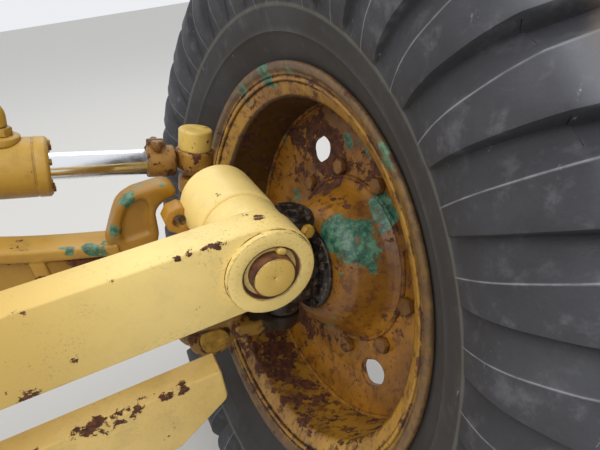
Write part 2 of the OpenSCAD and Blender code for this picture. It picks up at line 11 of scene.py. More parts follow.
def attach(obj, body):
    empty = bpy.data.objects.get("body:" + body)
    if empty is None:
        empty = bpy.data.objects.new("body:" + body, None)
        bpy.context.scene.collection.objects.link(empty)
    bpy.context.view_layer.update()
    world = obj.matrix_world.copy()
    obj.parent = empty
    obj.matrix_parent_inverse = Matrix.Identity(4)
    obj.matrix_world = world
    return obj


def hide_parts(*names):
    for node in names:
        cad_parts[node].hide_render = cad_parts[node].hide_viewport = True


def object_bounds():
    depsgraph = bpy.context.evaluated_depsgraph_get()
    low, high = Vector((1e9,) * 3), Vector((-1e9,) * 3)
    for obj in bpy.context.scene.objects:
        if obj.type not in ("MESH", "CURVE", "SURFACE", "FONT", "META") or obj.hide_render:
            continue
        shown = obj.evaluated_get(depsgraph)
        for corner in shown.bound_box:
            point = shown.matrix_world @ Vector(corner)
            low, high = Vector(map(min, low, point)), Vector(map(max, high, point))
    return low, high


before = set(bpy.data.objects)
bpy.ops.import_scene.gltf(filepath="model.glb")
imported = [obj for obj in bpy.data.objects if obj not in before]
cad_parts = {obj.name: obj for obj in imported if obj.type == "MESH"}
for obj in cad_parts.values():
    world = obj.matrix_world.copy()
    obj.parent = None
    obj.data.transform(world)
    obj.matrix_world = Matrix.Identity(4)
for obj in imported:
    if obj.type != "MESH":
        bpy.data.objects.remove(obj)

bl_info = {
    "name": "Leaning-wheel front axle",
    "version": (1, 0, 0),
    "blender": (4, 5, 0),
    "location": "View3D > Sidebar > Axle",
    "description": "Dresses a motor grader's front axle: wheels, lean linkage, steering and their finishes",
    "category": "Object",
}

CAD_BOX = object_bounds()
LEFT, RIGHT = 1, -1
SIDES = {LEFT: "left", RIGHT: "right"}
BODY = {LEFT: "l", RIGHT: "r"}


def linear(code):
    """An sRGB hex colour as linear red, green, blue and alpha."""
    out = []
    for i in (1, 3, 5):
        v = int(code[i:i + 2], 16) / 255
        out.append(v / 12.92 if v <= 0.04045 else ((v + 0.055) / 1.055) ** 2.4)
    return (*out, 1.0)


def size(label, value, about):
    return FloatProperty(name=label, description=about, default=value, min=0.0, unit="LENGTH")


def angle(label, degrees, about):
    return FloatProperty(name=label, description=about, default=math.radians(degrees), unit="ROTATION")


def colour(label, code, about):
    return FloatVectorProperty(name=label, description=about, default=linear(code)[:3],
                               subtype="COLOR", size=3, min=0.0, max=1.0)


class AxleSizes(bpy.types.PropertyGroup):
    """Main sizes of the axle, in metres, as in the part's source"""
    lean: angle("Lean", 14.5, "Lean of the wheels at rest")
    steer: angle("Steer", 4.7, "Steering of the wheels at rest")
    pin_x: size("Lower pin", 0.800, "Distance of each lower lean pin from the centre pivot")
    pin_drop: size("Pin drop", 0.280, "Drop of the lower lean pins below the centre pivot")
    link: size("Link", 0.250, "Distance between the lower and the upper lean pin")
    kingpin_x: size("Kingpin", 0.113, "Distance of the kingpin outboard of the lower lean pin")
    wheel_x: size("Wheel offset", 0.209,
                  "Distance of the wheel's middle plane outboard of the lower lean pin")
    wheel_z: size("Wheel height", 0.125, "Height of the wheel's axis above the lower lean pin")
    lugs: IntProperty(name="Lugs", description="Lugs on each shoulder", default=40, min=20, max=60)
    rim_r: size("Rim radius", 0.338, "Radius over the rim's flanges")
    rim_half: size("Rim half width", 0.108, "Half of the rim's width over its flanges")
    barrel_r: size("Barrel radius", 0.284, "Radius of the inside of the rim barrel")
    bolt_circle: size("Bolt circle", 0.1675, "Radius of the circle of wheel bolts")
    bar_front: FloatProperty(name="Bar front", description="Front face of the lean bar", default=-0.169,
                             unit="LENGTH")
    bar_t: size("Bar thickness", 0.047, "Thickness of the lean bar, front to back")
    bar_up: size("Bar above", 0.061, "Height of the lean bar above its pins' axis")
    bar_down: size("Bar below", 0.049, "Height of the lean bar below its pins' axis")
    ring_r: size("Eye ring", 0.056, "Outer radius of the raised ring on the bar's eye")
    pin_r: size("Upper pin", 0.028, "Radius of the upper lean pin")


class AxleColours(bpy.types.PropertyGroup):
    """Colours of the axle's finishes"""
    cream: colour("Cream enamel", "#F2D482", "Repainted lean bar, yokes and front plate")
    ochre: colour("Ochre enamel", "#B07F27", "Older coat on the beam, wheels and arms")
    lemon: colour("Yellow enamel", "#CBA040", "Coat of the cylinders")
    undercoat: colour("Green undercoat", "#1A5742", "Older coat that shows where the ochre has flaked")
    rust: colour("Rust", "#56301A", "Rusted bare steel")
    rubber: colour("Tyre rubber", "#38383D", "Weathered tyre")
    dust: colour("Dried mud", "#7C6E5B", "Dried mud on the tread")
    floor: colour("Floor", "#CBC9C4", "Studio floor")


def sizes():
    """The scene's sizes of the axle."""
    return bpy.context.scene.axle_sizes


def shade(name):
    """One of the scene's colours, with alpha."""
    return (*getattr(bpy.context.scene.axle_colours, name), 1.0)


def at(x, y, z):
    """The matrix of a move."""
    return Matrix.Translation((x, y, z))


def spin(degrees, axis):
    """The matrix of a turn about an axis."""
    return Matrix.Rotation(math.radians(degrees), 4, axis)


# Places. Each gives the matrix of one side's own frame; a form drawn with +X outboard is
# mirrored in its own X for the right side, so no object carries a negative scale.
def at_yoke(s):
    z = sizes()
    return at(s * z.pin_x, 0, -z.pin_drop) @ Matrix.Rotation(z.lean, 4, "Y")


def at_kingpin(s):
    z = sizes()
    return at_yoke(s) @ at(s * z.kingpin_x, 0, 0) @ Matrix.Rotation(z.steer, 4, "Z")


def at_wheel(s):
    z = sizes()
    return at_kingpin(s) @ at(s * (z.wheel_x - z.kingpin_x), 0, z.wheel_z)


def at_bar():
    z = sizes()
    return at(z.link * math.sin(z.lean), 0, z.link * math.cos(z.lean) - z.pin_drop)


# Outlines and forms. An outline is a list of points; a form is a list of points and one of faces.
def rounded(outline, radius=0.0):
    """The outline with each corner filleted; a point's third number is its own radius."""
    out, n = [], len(outline)
    for i, p in enumerate(outline):
        r = p[2] if len(p) > 2 else radius
        a, b, c = (Vector(q[:2]) for q in (outline[i - 1], p, outline[(i + 1) % n]))
        u, v = (a - b), (c - b)
        if r <= 0 or u.length < 1e-7 or v.length < 1e-7:
            out.append(tuple(b))
            continue
        half = u.angle(v) / 2
        if half > math.pi / 2 - 0.05:
            out.append(tuple(b))
            continue
        cut = min(r / math.tan(half), 0.46 * u.length, 0.46 * v.length)
        r = cut * math.tan(half)
        start, end = b + u.normalized() * cut, b + v.normalized() * cut
        middle = b + (u.normalized() + v.normalized()).normalized() * (r / math.sin(half) - r)
        out += [tuple(start), tuple(middle), tuple(end)]
    return out


def joined(rows, n, closed=False):
    """Faces between rows of n points each. A closed form's last row meets its first; others get caps."""
    faces = [(k * n + i, k * n + (i + 1) % n, (k + 1) % rows * n + (i + 1) % n, (k + 1) % rows * n + i)
             for k in range(rows if closed else rows - 1) for i in range(n)]
    if not closed:
        faces += [tuple(range(n))[::-1], tuple(range((rows - 1) * n, rows * n))]
    return faces


def drum(radius, low, high):
    """The closed outline of a plain cylinder, for lathe."""
    return [(0.0, low), (radius, low), (radius, high), (0.0, high)]


def band(inner, outer, low, high):
    """The closed outline of a plain ring, for lathe."""
    return [(inner, low), (outer, low), (outer, high), (inner, high)]


def polar(radius, degrees, x=0.0, z=0.0):
    """A point at an angle on a circle about (x, z)."""
    return x + radius * math.cos(math.radians(degrees)), z + radius * math.sin(math.radians(degrees))


def sphere(radius, z=0.0, first=0, step=9):
    """The outline of a ball from an angle above its lowest point, for about_z."""
    return [(radius * math.sin(math.radians(a)), z - radius * math.cos(math.radians(a)))
            for a in range(first, 181, step)]


def lathe(outline, steps=128, radius=0.0015):
    """A round form about X from a closed outline of (radius, x)."""
    loop = rounded(outline, radius) if radius else [p[:2] for p in outline]
    n = len(loop)
    points = [(x, -r * math.cos(a), r * math.sin(a))
              for a in (2 * math.pi * k / steps for k in range(steps)) for r, x in loop]
    return points, joined(steps, n, True)


def slab(outline, low, high, edge=0.002, corner=0.0):
    """A plate with an outline in X and Z from y = low to high, its edges rounded."""
    loop = rounded(outline, corner) if corner else [tuple(p[:2]) for p in outline]
    n = len(loop)
    area = sum(loop[i - 1][0] * loop[i][1] - loop[i][0] * loop[i - 1][1] for i in range(n))
    turn = 1 if area > 0 else -1
    mitres = []
    for i in range(n):
        a, b, c = Vector(loop[i - 1]), Vector(loop[i]), Vector(loop[(i + 1) % n])
        u, v = (b - a).normalized(), (c - b).normalized()
        m, w = Vector((-u.y, u.x)) * turn, Vector((-v.y, v.x)) * turn
        mitres.append((m + w) / max(0.35, 1 + m.dot(w)))
    layers = [(low + edge * (1 - math.cos(a)), edge * (1 - math.sin(a)))
              for a in (math.pi / 6 * k for k in range(4))]
    layers += [(high + low - y, d) for y, d in reversed(layers)]
    points = [(p[0] + m.x * d, y, p[1] + m.y * d) for y, d in layers for p, m in zip(loop, mitres)]
    return points, joined(len(layers), n)


def pipe(path, radius, sides=20):
    """A round rod along a path; radius is one number or one for each point."""
    path = [Vector(p) for p in path]
    radii = radius if isinstance(radius, (list, tuple)) else [radius] * len(path)
    ahead = [(path[min(i + 1, len(path) - 1)] - path[max(i - 1, 0)]).normalized() for i in range(len(path))]
    across = ahead[0].orthogonal().normalized()
    points = []
    for p, d, r in zip(path, ahead, radii):
        across = (across - d * across.dot(d)).normalized()
        other = d.cross(across)
        points += [tuple(p + (across * math.cos(a) + other * math.sin(a)) * r)
                   for a in (2 * math.pi * k / sides for k in range(sides))]
    return points, joined(len(path), sides)


# Spacing of the points along a weld bead in metres, and its sides
WELD_STEP, WELD_SIDES = 0.002, 8


def weld(path, radius):
    """A weld bead: a rod with the ripples of its runs, about 4 mm apart."""
    path = [Vector(p) for p in path]
    fine = []
    for a, b in zip(path, path[1:]):
        steps = max(2, int((b - a).length / WELD_STEP))
        fine += [a.lerp(b, i / steps) for i in range(steps)]
    fine.append(path[-1])
    radii = [radius * (1 + 0.16 * math.sin(i * math.pi / 1.1) + 0.25 * noise.noise(p * 60))
             for i, p in enumerate(fine)]
    return pipe(fine, radii, WELD_SIDES)


def hexagon(width, height):
    """A bolt's head along +Y from 0, width across its corners."""
    ring = [(width / 2 * math.cos(math.pi / 3 * i), width / 2 * math.sin(math.pi / 3 * i))
            for i in range(6)]
    return slab(ring, 0.0, height, BOLT_EDGE)


def moved(form, matrix):
    """The form under a matrix."""
    return [tuple(matrix @ Vector(p)) for p in form[0]], form[1]


def scaled(form, x=1, y=1):
    """The form with its X and Y scaled, or turned over by -1."""
    return [(x * p[0], y * p[1], p[2]) for p in form[0]], form[1]


def mirrored(line):
    """A line of (x, z) from the middle outboard, drawn from its mirror image on."""
    return [(-x, h) for x, h in reversed(line[1:])] + list(line)


# The turn of a form drawn along +Y onto +X, and the bevel of bolt heads in metres
ON_X = spin(-90, "Z")
BOLT_EDGE = 0.0012


def turned(outline, steps=96, radius=0.0015, x=0.0, z=0.0):
    """A round form about +Y through (x, z) from a closed outline of (radius, y)."""
    return moved(lathe(outline, steps, radius), at(x, 0, z) @ spin(90, "Z"))


def about_z(outline, steps=72, radius=0.0015, x=0.0, y=0.0):
    """A round form about +Z through (x, y) from a closed outline of (radius, z)."""
    return moved(lathe(outline, steps, radius), at(x, y, 0) @ spin(-90, "Y"))


def side_slab(outline, low, high, edge):
    """A plate with an outline in Y and Z from x = low to high."""
    return moved(slab(outline, -high, -low, edge), spin(90, "Z"))


def block(low, high, edge=0.002):
    """A box from its lowest to its highest corner."""
    (x0, y0, z0), (x1, y1, z1) = low, high
    return slab(band(x0, x1, z0, z1), y0, y1, edge, edge)


def loft(sections):
    """A forging through rounded rectangles; columns: z, low x, high x, low y, high y."""
    corner, arc = 0.012, 4
    rings = []
    for z, x0, x1, y0, y1 in sections:
        ring = []
        for cx, cy, turn in ((x1 - corner, y1 - corner, 0), (x0 + corner, y1 - corner, 90),
                             (x0 + corner, y0 + corner, 180), (x1 - corner, y0 + corner, 270)):
            for k in range(arc + 1):
                a = math.radians(turn + 90 * k / arc)
                ring.append((cx + corner * math.cos(a), cy + corner * math.sin(a), z))
        rings.append(ring)
    return [p for ring in rings for p in ring], joined(len(rings), len(rings[0]))


def smooth_curve(points, parts=0):
    """Points on a smooth curve through the given ones, in so many parts or about 20 mm apart."""
    out = []
    for i in range(len(points) - 1):
        a, b, c, d = (Vector(points[max(0, min(len(points) - 1, i + k))]) for k in (-1, 0, 1, 2))
        steps = parts or max(1, round((c - b).length / 0.02))
        for k in range(steps):
            t = k / steps
            out.append(tuple(0.5 * ((2 * b) + (c - a) * t + (2 * a - 5 * b + 4 * c - d) * t * t
                                    + (3 * b - a - 3 * c + d) * t ** 3)))
    out.append(tuple(points[-1]))
    return out


def height_at(points, x):
    """The height at x of a line of (x, z)."""
    for a, b in zip(points, points[1:]):
        if a[0] <= x <= b[0]:
            return a[1] + (b[1] - a[1]) * (x - a[0]) / (b[0] - a[0])
    raise ValueError("outside the curve")


def bolt_y(x, y, z, width=0.024, height=0.010, toward=-1):
    """A bolt's head on a face across Y, with its washer."""
    points, faces = hexagon(width, height)
    head = [(a, b + 0.0025, c) for a, b, c in points], faces
    washer = turned(drum(width * 0.62, 0.0, 0.0028), 28, 0.0006)
    return [moved(scaled(form, 1, toward), at(x, y, z)) for form in (head, washer)]


def solid(name, forms, mirror=False):
    """A mesh of closed forms, its faces outward; for the right side its X is turned over."""
    mesh = bpy.data.meshes.new(name)
    points, faces, flip = [], [], -1 if mirror else 1
    for form in forms:
        start = len(points)
        points += [(flip * p[0], p[1], p[2]) for p in form[0]]
        faces += [tuple(start + i for i in f) for f in form[1]]
    mesh.from_pydata(points, [], faces)
    bm = bmesh.new()
    bm.from_mesh(mesh)
    bmesh.ops.remove_doubles(bm, verts=bm.verts, dist=2e-6)
    bmesh.ops.dissolve_degenerate(bm, edges=bm.edges, dist=1e-6)
    bmesh.ops.recalc_face_normals(bm, faces=bm.faces)
    bm.to_mesh(mesh)
    bm.free()
    return mesh


def worked(mesh, steps):
    """The mesh after modifier steps, each a kind and its settings."""
    obj = bpy.data.objects.new(mesh.name, mesh)
    bpy.context.scene.collection.objects.link(obj)
    cutters = []
    for kind, settings in steps:
        mod = obj.modifiers.new(kind.lower(), kind)
        for key, value in settings.items():
            if key == "object":
                value = bpy.data.objects.new("cutter", value)
                bpy.context.scene.collection.objects.link(value)
                cutters.append(value)
            setattr(mod, key, value)
    bpy.context.view_layer.update()
    done = bpy.data.meshes.new_from_object(obj.evaluated_get(bpy.context.evaluated_depsgraph_get()))
    done.name = mesh.name
    for used in cutters + [obj]:
        old = used.data
        bpy.data.objects.remove(used)
        bpy.data.meshes.remove(old)
    if not done.polygons:
        raise RuntimeError("no faces left in " + done.name)
    return done


def cut_by(name, forms, mirror=False):
    """Boolean steps that take forms away."""
    return [("BOOLEAN", {"operation": "DIFFERENCE", "solver": "MANIFOLD",
                         "object": solid(name, [form], mirror)}) for form in forms]


def piece(name, forms, place, body, finish, stands_for=(), mirror=False, smooth=38.0, cuts=(),
          voxel=0.0, soften=3, bores=()):
    """One visible piece from its forms, placed and given to a body. With a voxel size the forms
    are cast into one skin with filleted joins. Cuts are made before that, bores after it.
    Each point keeps its own coordinates for the finish, and the object stays at the origin."""
    mesh = solid(name, forms, mirror)
    steps = []
    if voxel:
        skin = ("REMESH", {"mode": "VOXEL", "voxel_size": voxel, "adaptivity": 0.0})
        if cuts:
            steps += [skin, *cut_by("cuts", cuts, mirror)]
        steps += [skin, ("SMOOTH", {"factor": 0.5, "iterations": soften})]
    elif cuts:
        steps += cut_by("cuts", cuts, mirror)
    if bores:
        steps += cut_by("bores", bores, mirror)
    if steps:
        mesh = worked(mesh, steps)
    own = mesh.attributes.new("own", "FLOAT_VECTOR", "POINT")
    flip = -1 if mirror else 1
    own.data.foreach_set("vector", [c for v in mesh.vertices for c in (v.co.x * flip, v.co.y, v.co.z)])
    mesh.transform(place)
    obj = bpy.data.objects.new(name, mesh)
    bpy.context.scene.collection.objects.link(obj)
    finished(obj, finish, 180.0 if voxel and not bores else smooth)
    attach(obj, body)
    if stands_for:
        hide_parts(*stands_for)
    return obj


def finished(obj, finish, smooth):
    """Smooth shading up to an angle, and the finish as the only material."""
    obj.data.materials.clear()
    obj.data.materials.append(FINISH[finish])
    obj.data.shade_smooth()
    obj.data.set_sharp_from_angle(angle=math.radians(smooth))


# Finishes
def add(tree, kind, settings=None, inputs=None):
    """Adds a node, sets its properties, and sets or links its inputs by name or number."""
    made = tree.nodes.new(kind)
    for key, value in (settings or {}).items():
        setattr(made, key, value)
    for key, value in (inputs or {}).items():
        socket = made.inputs[key]
        if isinstance(value, bpy.types.NodeSocket):
            tree.links.new(value, socket)
        else:
            socket.default_value = value
    return made


def start(name, own=True):
    """A new material with its tree, its shader and the piece's own coordinates, or the object's."""
    made = bpy.data.materials.new(name)
    made.use_nodes = True
    tree = made.node_tree
    tree.nodes.clear()
    shader = add(tree, "ShaderNodeBsdfPrincipled")
    out = add(tree, "ShaderNodeOutputMaterial", inputs={"Surface": shader.outputs[0]})
    out.is_active_output = True
    if own:
        where = add(tree, "ShaderNodeAttribute", {"attribute_name": "own"}).outputs["Vector"]
    else:
        where = add(tree, "ShaderNodeTexCoord").outputs["Object"]
    return made, tree, shader, where


def grain(tree, where, scale, detail=4.0, roughness=0.55, offset=0.0, stretch=(1, 1, 1)):
    """Noise of a scale in cells a metre."""
    moved_to = add(tree, "ShaderNodeMapping",
                   inputs={0: where, 1: (offset, offset * 0.7, -offset), 3: stretch}).outputs[0]
    return add(tree, "ShaderNodeTexNoise", inputs={"Vector": moved_to, "Scale": scale, "Detail": detail,
                                                   "Roughness": roughness}).outputs[0]


def ramp(tree, value, low, high, to_low=0.0, to_high=1.0):
    """A smooth step of a value between low and high."""
    return add(tree, "ShaderNodeMapRange", {"interpolation_type": "SMOOTHSTEP"},
               {0: value, 1: low, 2: high, 3: to_low, 4: to_high}).outputs[0]


def sums(tree, kind, a, b=0.0, c=0.0):
    """One step of arithmetic on values."""
    return add(tree, "ShaderNodeMath", {"operation": kind}, {0: a, 1: b, 2: c}).outputs[0]


def blended(tree, factor, a, b):
    """The colour a turned into b by a factor."""
    return add(tree, "ShaderNodeMix", {"data_type": "RGBA"}, {0: factor, 6: a, 7: b}).outputs[2]


def blotch(tree, where, centre, radius):
    """One at a place on the piece, falling to nothing at a distance from it."""
    far = add(tree, "ShaderNodeVectorMath", {"operation": "DISTANCE"},
              {0: where, 1: centre}).outputs["Value"]
    return ramp(tree, far, radius * 0.25, radius, 1.0, 0.0)


def spotted(tree, where, value, table):
    """The value, raised at each spot of a table of SPOTS."""
    for *centre, radius, strength in SPOTS.get(table, ()):
        value = sums(tree, "MULTIPLY_ADD", blotch(tree, where, centre, radius), strength, value)
    return value


def bumped(tree, shader, height, strength, distance=0.0012, **more):
    """Relief from a height on the shader's surface."""
    bump = add(tree, "ShaderNodeBump",
               inputs={"Strength": strength, "Distance": distance, "Height": height, **more})
    tree.links.new(bump.outputs[0], shader.inputs["Normal"])


def off_axle(tree, where):
    """The distance from the piece's own X axis."""
    parts = add(tree, "ShaderNodeSeparateXYZ", inputs={0: where})
    flat = add(tree, "ShaderNodeCombineXYZ", inputs={1: parts.outputs[1], 2: parts.outputs[2]})
    return add(tree, "ShaderNodeVectorMath", {"operation": "LENGTH"}, {0: flat.outputs[0]}).outputs["Value"]


def tinted(code, factor):
    """A colour made darker or lighter by a factor."""
    return (code[0] * factor, code[1] * factor, code[2] * factor, 1.0)


# Old enamel over a green coat and steel: faded and dirty in patches, flaked along its edges
# down to brown rust, which is rougher and lies lower than the paint. Spots, greens and grime
# name tables of SPOTS. Darkened along: axis, where it begins and ends, colour; on the bar this is
# painted shade where the light falls off inboard, on the yoke it is darker towards the bottom.
# Inside: radius under which it is rusty, added rust, and the strength of a painted shade that is
# darkest at the top. Lip: radius over which it is soiled, how much.
def enamel(name, coat, faded, dirt=0.35, rust=0.50, edge=0.5, under=0.0, rust_scale=16.0, spots=None,
           greens=None, seed=0.0, mottle=0.0, grime=None, inside=None, lip=None, darkened_along=None,
           soft=0.005, peel=0.0):
    made, tree, shader, where = start(name)
    broad = grain(tree, where, 5.0, 5.0, 0.6, 3.1 + seed)
    middle = grain(tree, where, 26.0, 6.0, 0.62, 1.7 + seed)
    fine = grain(tree, where, 160.0, 3.0, 0.6, seed)
    paint = blended(tree, ramp(tree, broad, 0.35, 0.68), coat, faded)
    paint = blended(tree, ramp(tree, middle, 0.48, 0.72, 0.0, dirt), paint, tinted(coat, 0.42))
    paint = blended(tree, ramp(tree, fine, 0.55, 0.75, 0.0, dirt * 0.6), paint, tinted(coat, 0.55))
    # Darker along one axis: painted shade on the bar, darker towards the bottom on the yoke
    if darkened_along:
        axis, begin, end, tone = darkened_along
        along = add(tree, "ShaderNodeSeparateXYZ", inputs={0: where}).outputs[axis]
        paint = blended(tree, ramp(tree, along, begin, end), paint, linear(tone))
    if peel:
        pits = grain(tree, where, 300.0, 4.0, 0.7, 17.0)
        patch = ramp(tree, grain(tree, where, 13.0, 3.0, 0.5, 19.0), 0.44, 0.6)
        paint = blended(tree, sums(tree, "MULTIPLY", ramp(tree, pits, 0.55, 0.66, 0.0, peel), patch), paint,
                        tinted(coat, 0.35))
    if mottle:
        blobs = grain(tree, where, 48.0, 7.0, 0.7, 5.3 + seed)
        paint = blended(tree, ramp(tree, blobs, 0.5, 0.62, 0.0, mottle), paint, shade("rust"))
        specks = grain(tree, where, 130.0, 5.0, 0.7, 8.8 + seed)
        paint = blended(tree, ramp(tree, specks, 0.58, 0.64, 0.0, mottle), paint,
                        tinted(shade("rust"), 0.7))
    bevel = add(tree, "ShaderNodeBevel", {"samples": 4}, {"Radius": soft})
    facing = add(tree, "ShaderNodeNewGeometry").outputs["Normal"]
    same = add(tree, "ShaderNodeVectorMath", {"operation": "DOT_PRODUCT"},
               {0: bevel.outputs[0], 1: facing}).outputs["Value"]
    worn = ramp(tree, same, 0.995, 0.86)
    patchy = grain(tree, where, rust_scale, 8.0, 0.68, 7.9 + seed)
    rusty = sums(tree, "MULTIPLY_ADD", worn, edge * 0.22, patchy)
    rusty = spotted(tree, where, rusty, spots)
    if inside:
        within = ramp(tree, off_axle(tree, where), inside[0] + 0.003, inside[0])
        rusty = sums(tree, "MULTIPLY_ADD", within, inside[1], rusty)
        # Painted shade inside the barrel, darkest towards its top, besides the added rust
        height = add(tree, "ShaderNodeSeparateXYZ", inputs={0: where}).outputs[2]
        upper = ramp(tree, height, -0.16, 0.06, 0.12, 1.0)
        dark = sums(tree, "MULTIPLY", sums(tree, "MULTIPLY", within, inside[2]), upper)
        paint = blended(tree, dark, paint, linear("#33200F"))
    bare = ramp(tree, rusty, 0.72 - 0.2 * rust, 0.745 - 0.2 * rust)
    if lip:
        outer = ramp(tree, sums(tree, "MULTIPLY_ADD", middle, 0.012, off_axle(tree, where)), lip[0],
                     lip[0] + 0.009)
        soiled = sums(tree, "MULTIPLY", outer, ramp(tree, patchy, 0.3, 0.6, 0.55, lip[1]))
        paint = blended(tree, soiled, paint, blended(tree, fine, linear("#3A2C1E"), linear("#6A5238")))
    if under or greens:
        green = grain(tree, where, 11.0, 6.0, 0.62, 12.4 + seed)
        green = spotted(tree, where, green, greens)
        broken = grain(tree, where, 75.0, 7.0, 0.75, 21.0 + seed)
        green = sums(tree, "MULTIPLY_ADD", sums(tree, "SUBTRACT", broken, 0.5), 0.34, green)
        shows = ramp(tree, green, 0.73 - 0.2 * under, 0.77 - 0.2 * under)
        pale = blended(tree, ramp(tree, broken, 0.42, 0.62), tinted(shade("undercoat"), 0.8),
                       linear("#5E8468"))
        paint = blended(tree, shows, paint, pale)
    old = blended(tree, ramp(tree, grain(tree, where, 90.0, 5.0, 0.7, 4.4), 0.35, 0.65),
                  tinted(shade("rust"), 0.45), tinted(shade("rust"), 1.5))
    skin = blended(tree, bare, paint, old)
    rough = ramp(tree, bare, 0.0, 1.0, 0.42, 0.85)
    if grime:
        black = ramp(tree, spotted(tree, where, middle, grime), 0.74, 0.86)
        skin = blended(tree, black, skin, blended(tree, fine, linear("#0E0B09"), linear("#3B2C1C")))
        rough = ramp(tree, black, 0.0, 1.0, rough, 0.5)
    tree.links.new(skin, shader.inputs["Base Color"])
    tree.links.new(rough, shader.inputs["Roughness"])
    height = sums(tree, "MULTIPLY_ADD", bare, -0.6, sums(tree, "MULTIPLY", fine, 0.35))
    bumped(tree, shader, height, 0.55, Normal=bevel.outputs[0])
    shader.inputs["IOR"].default_value = 1.5
    return made


# Hot-rolled or cast steel left bare: brown rust in two tones, matt, pitted about every 3 mm.
def rusted_steel(name, dark, light):
    made, tree, shader, where = start(name)
    tone = grain(tree, where, 60.0, 8.0, 0.7)
    broad = grain(tree, where, 9.0, 4.0, 0.6, 2.0)
    colour_of = blended(tree, ramp(tree, tone, 0.35, 0.68), dark, light)
    colour_of = blended(tree, ramp(tree, broad, 0.5, 0.75, 0.0, 0.55), colour_of, shade("ochre"))
    tree.links.new(colour_of, shader.inputs["Base Color"])
    shader.inputs["Roughness"].default_value = 0.8
    pits = grain(tree, where, 330.0, 4.0, 0.6)
    bumped(tree, shader, sums(tree, "ADD", pits, tone), 0.6)
    return made


# Steel and rubber under old grease: nearly black, wet-looking in patches.
def greasy(name):
    made, tree, shader, where = start(name)
    lumps = grain(tree, where, 75.0, 5.0, 0.6)
    wet = blended(tree, ramp(tree, lumps, 0.45, 0.7), linear("#15120F"), linear("#4A3A2A"))
    dust = ramp(tree, grain(tree, where, 120.0, 6.0, 0.7, 6.0), 0.54, 0.66, 0.0, 0.75)
    tree.links.new(blended(tree, dust, wet, linear("#75685A")), shader.inputs["Base Color"])
    tree.links.new(ramp(tree, lumps, 0.35, 0.7, 0.28, 0.75), shader.inputs["Roughness"])
    bumped(tree, shader, lumps, 0.8, 0.002)
    return made


# Hard chrome on a ground rod: a mirror with a faint film of oil.
def chrome():
    made, tree, shader, where = start("hard_chrome")
    film = grain(tree, where, 30.0, 4.0)
    shader.inputs["Metallic"].default_value = 1.0
    shader.inputs["Base Color"].default_value = linear("#F4F6F8")
    tree.links.new(ramp(tree, film, 0.4, 0.7, 0.16, 0.3), shader.inputs["Roughness"])
    return made


# Turned steel, worn and handled: grey in two tones.
def machined():
    made, tree, shader, where = start("machined_steel_plain", False)
    tone = grain(tree, where, 40.0, 5.0, 0.6)
    shader.inputs["Metallic"].default_value = 0.85
    tree.links.new(blended(tree, tone, linear("#5F584E"), linear("#A9A39A")), shader.inputs["Base Color"])
    tree.links.new(ramp(tree, tone, 0.3, 0.7, 0.3, 0.55), shader.inputs["Roughness"])
    return made


# Moulded tyre rubber, weathered: blue-grey lugs, browner towards the bead, dried mud on the
# tread face, light scuffs; painted shade in the grooves and on the lugs' slopes, painted highlights
# on their ridges. Coordinates are the wheel's own, X its axle.
def tyre_rubber():
    made, tree, shader, where = start("weathered_rubber")
    radius = off_axle(tree, where)
    lug = add(tree, "ShaderNodeAttribute", {"attribute_name": "lug"}).outputs["Fac"]
    broad = grain(tree, where, 7.0, 5.0, 0.6)
    middle = grain(tree, where, 42.0, 6.0, 0.65, 2.0)
    fine = grain(tree, where, 240.0, 3.0, 0.6)
    base = blended(tree, ramp(tree, broad, 0.3, 0.7), shade("rubber"), tinted(shade("rubber"), 0.62))
    base = blended(tree, ramp(tree, middle, 0.5, 0.75, 0.0, 0.4), base, linear("#6D6C70"))
    bead = sums(tree, "MULTIPLY", ramp(tree, radius, 0.44, 0.37), ramp(tree, broad, 0.2, 0.6, 0.45, 0.9))
    base = blended(tree, bead, base, linear("#2E2A26"))
    # Painted shade: darker in the grooves and on the lugs' slopes, by the lug's tone
    base = blended(tree, ramp(tree, lug, 0.05, 0.45, 0.62, 0.0), base, tinted(shade("rubber"), 0.3))
    # Painted highlight along each lug's ridge
    ridge_highlight = sums(tree, "MULTIPLY", ramp(tree, lug, 0.62, 1.0), ramp(tree, middle, 0.3, 0.6, 0.35, 0.85))
    root_line = sums(tree, "MULTIPLY", ramp(tree, radius, 0.4035, 0.4065),
                     ramp(tree, radius, 0.4110, 0.4085))
    base = blended(tree, ridge_highlight, base, linear("#85858A"))
    base = blended(tree, sums(tree, "MULTIPLY", root_line, 0.45), base, linear("#6B695E"))
    worn = sums(tree, "MULTIPLY", ramp(tree, radius, 0.538, 0.556), ramp(tree, lug, 0.3, 0.5, 0.0, 0.5))
    base = blended(tree, worn, base, linear("#75757B"))
    crown = ramp(tree, sums(tree, "MULTIPLY_ADD", middle, 0.03, radius), 0.568, 0.592)
    mud = blended(tree, ramp(tree, middle, 0.35, 0.7), shade("dust"), tinted(shade("dust"), 0.6))
    base = blended(tree, sums(tree, "MULTIPLY", crown, 0.85), base, mud)
    scuff = grain(tree, where, 55.0, 6.0, 0.75, 9.0, (1, 1, 0.25))
    base = blended(tree, ramp(tree, scuff, 0.66, 0.72, 0.0, 0.55), base, linear("#9B9A9E"))
    tree.links.new(base, shader.inputs["Base Color"])
    tree.links.new(ramp(tree, broad, 0.3, 0.7, 0.62, 0.82), shader.inputs["Roughness"])
    shader.inputs["IOR"].default_value = 1.52
    bumped(tree, shader, sums(tree, "ADD", fine, middle), 0.35)
    return made
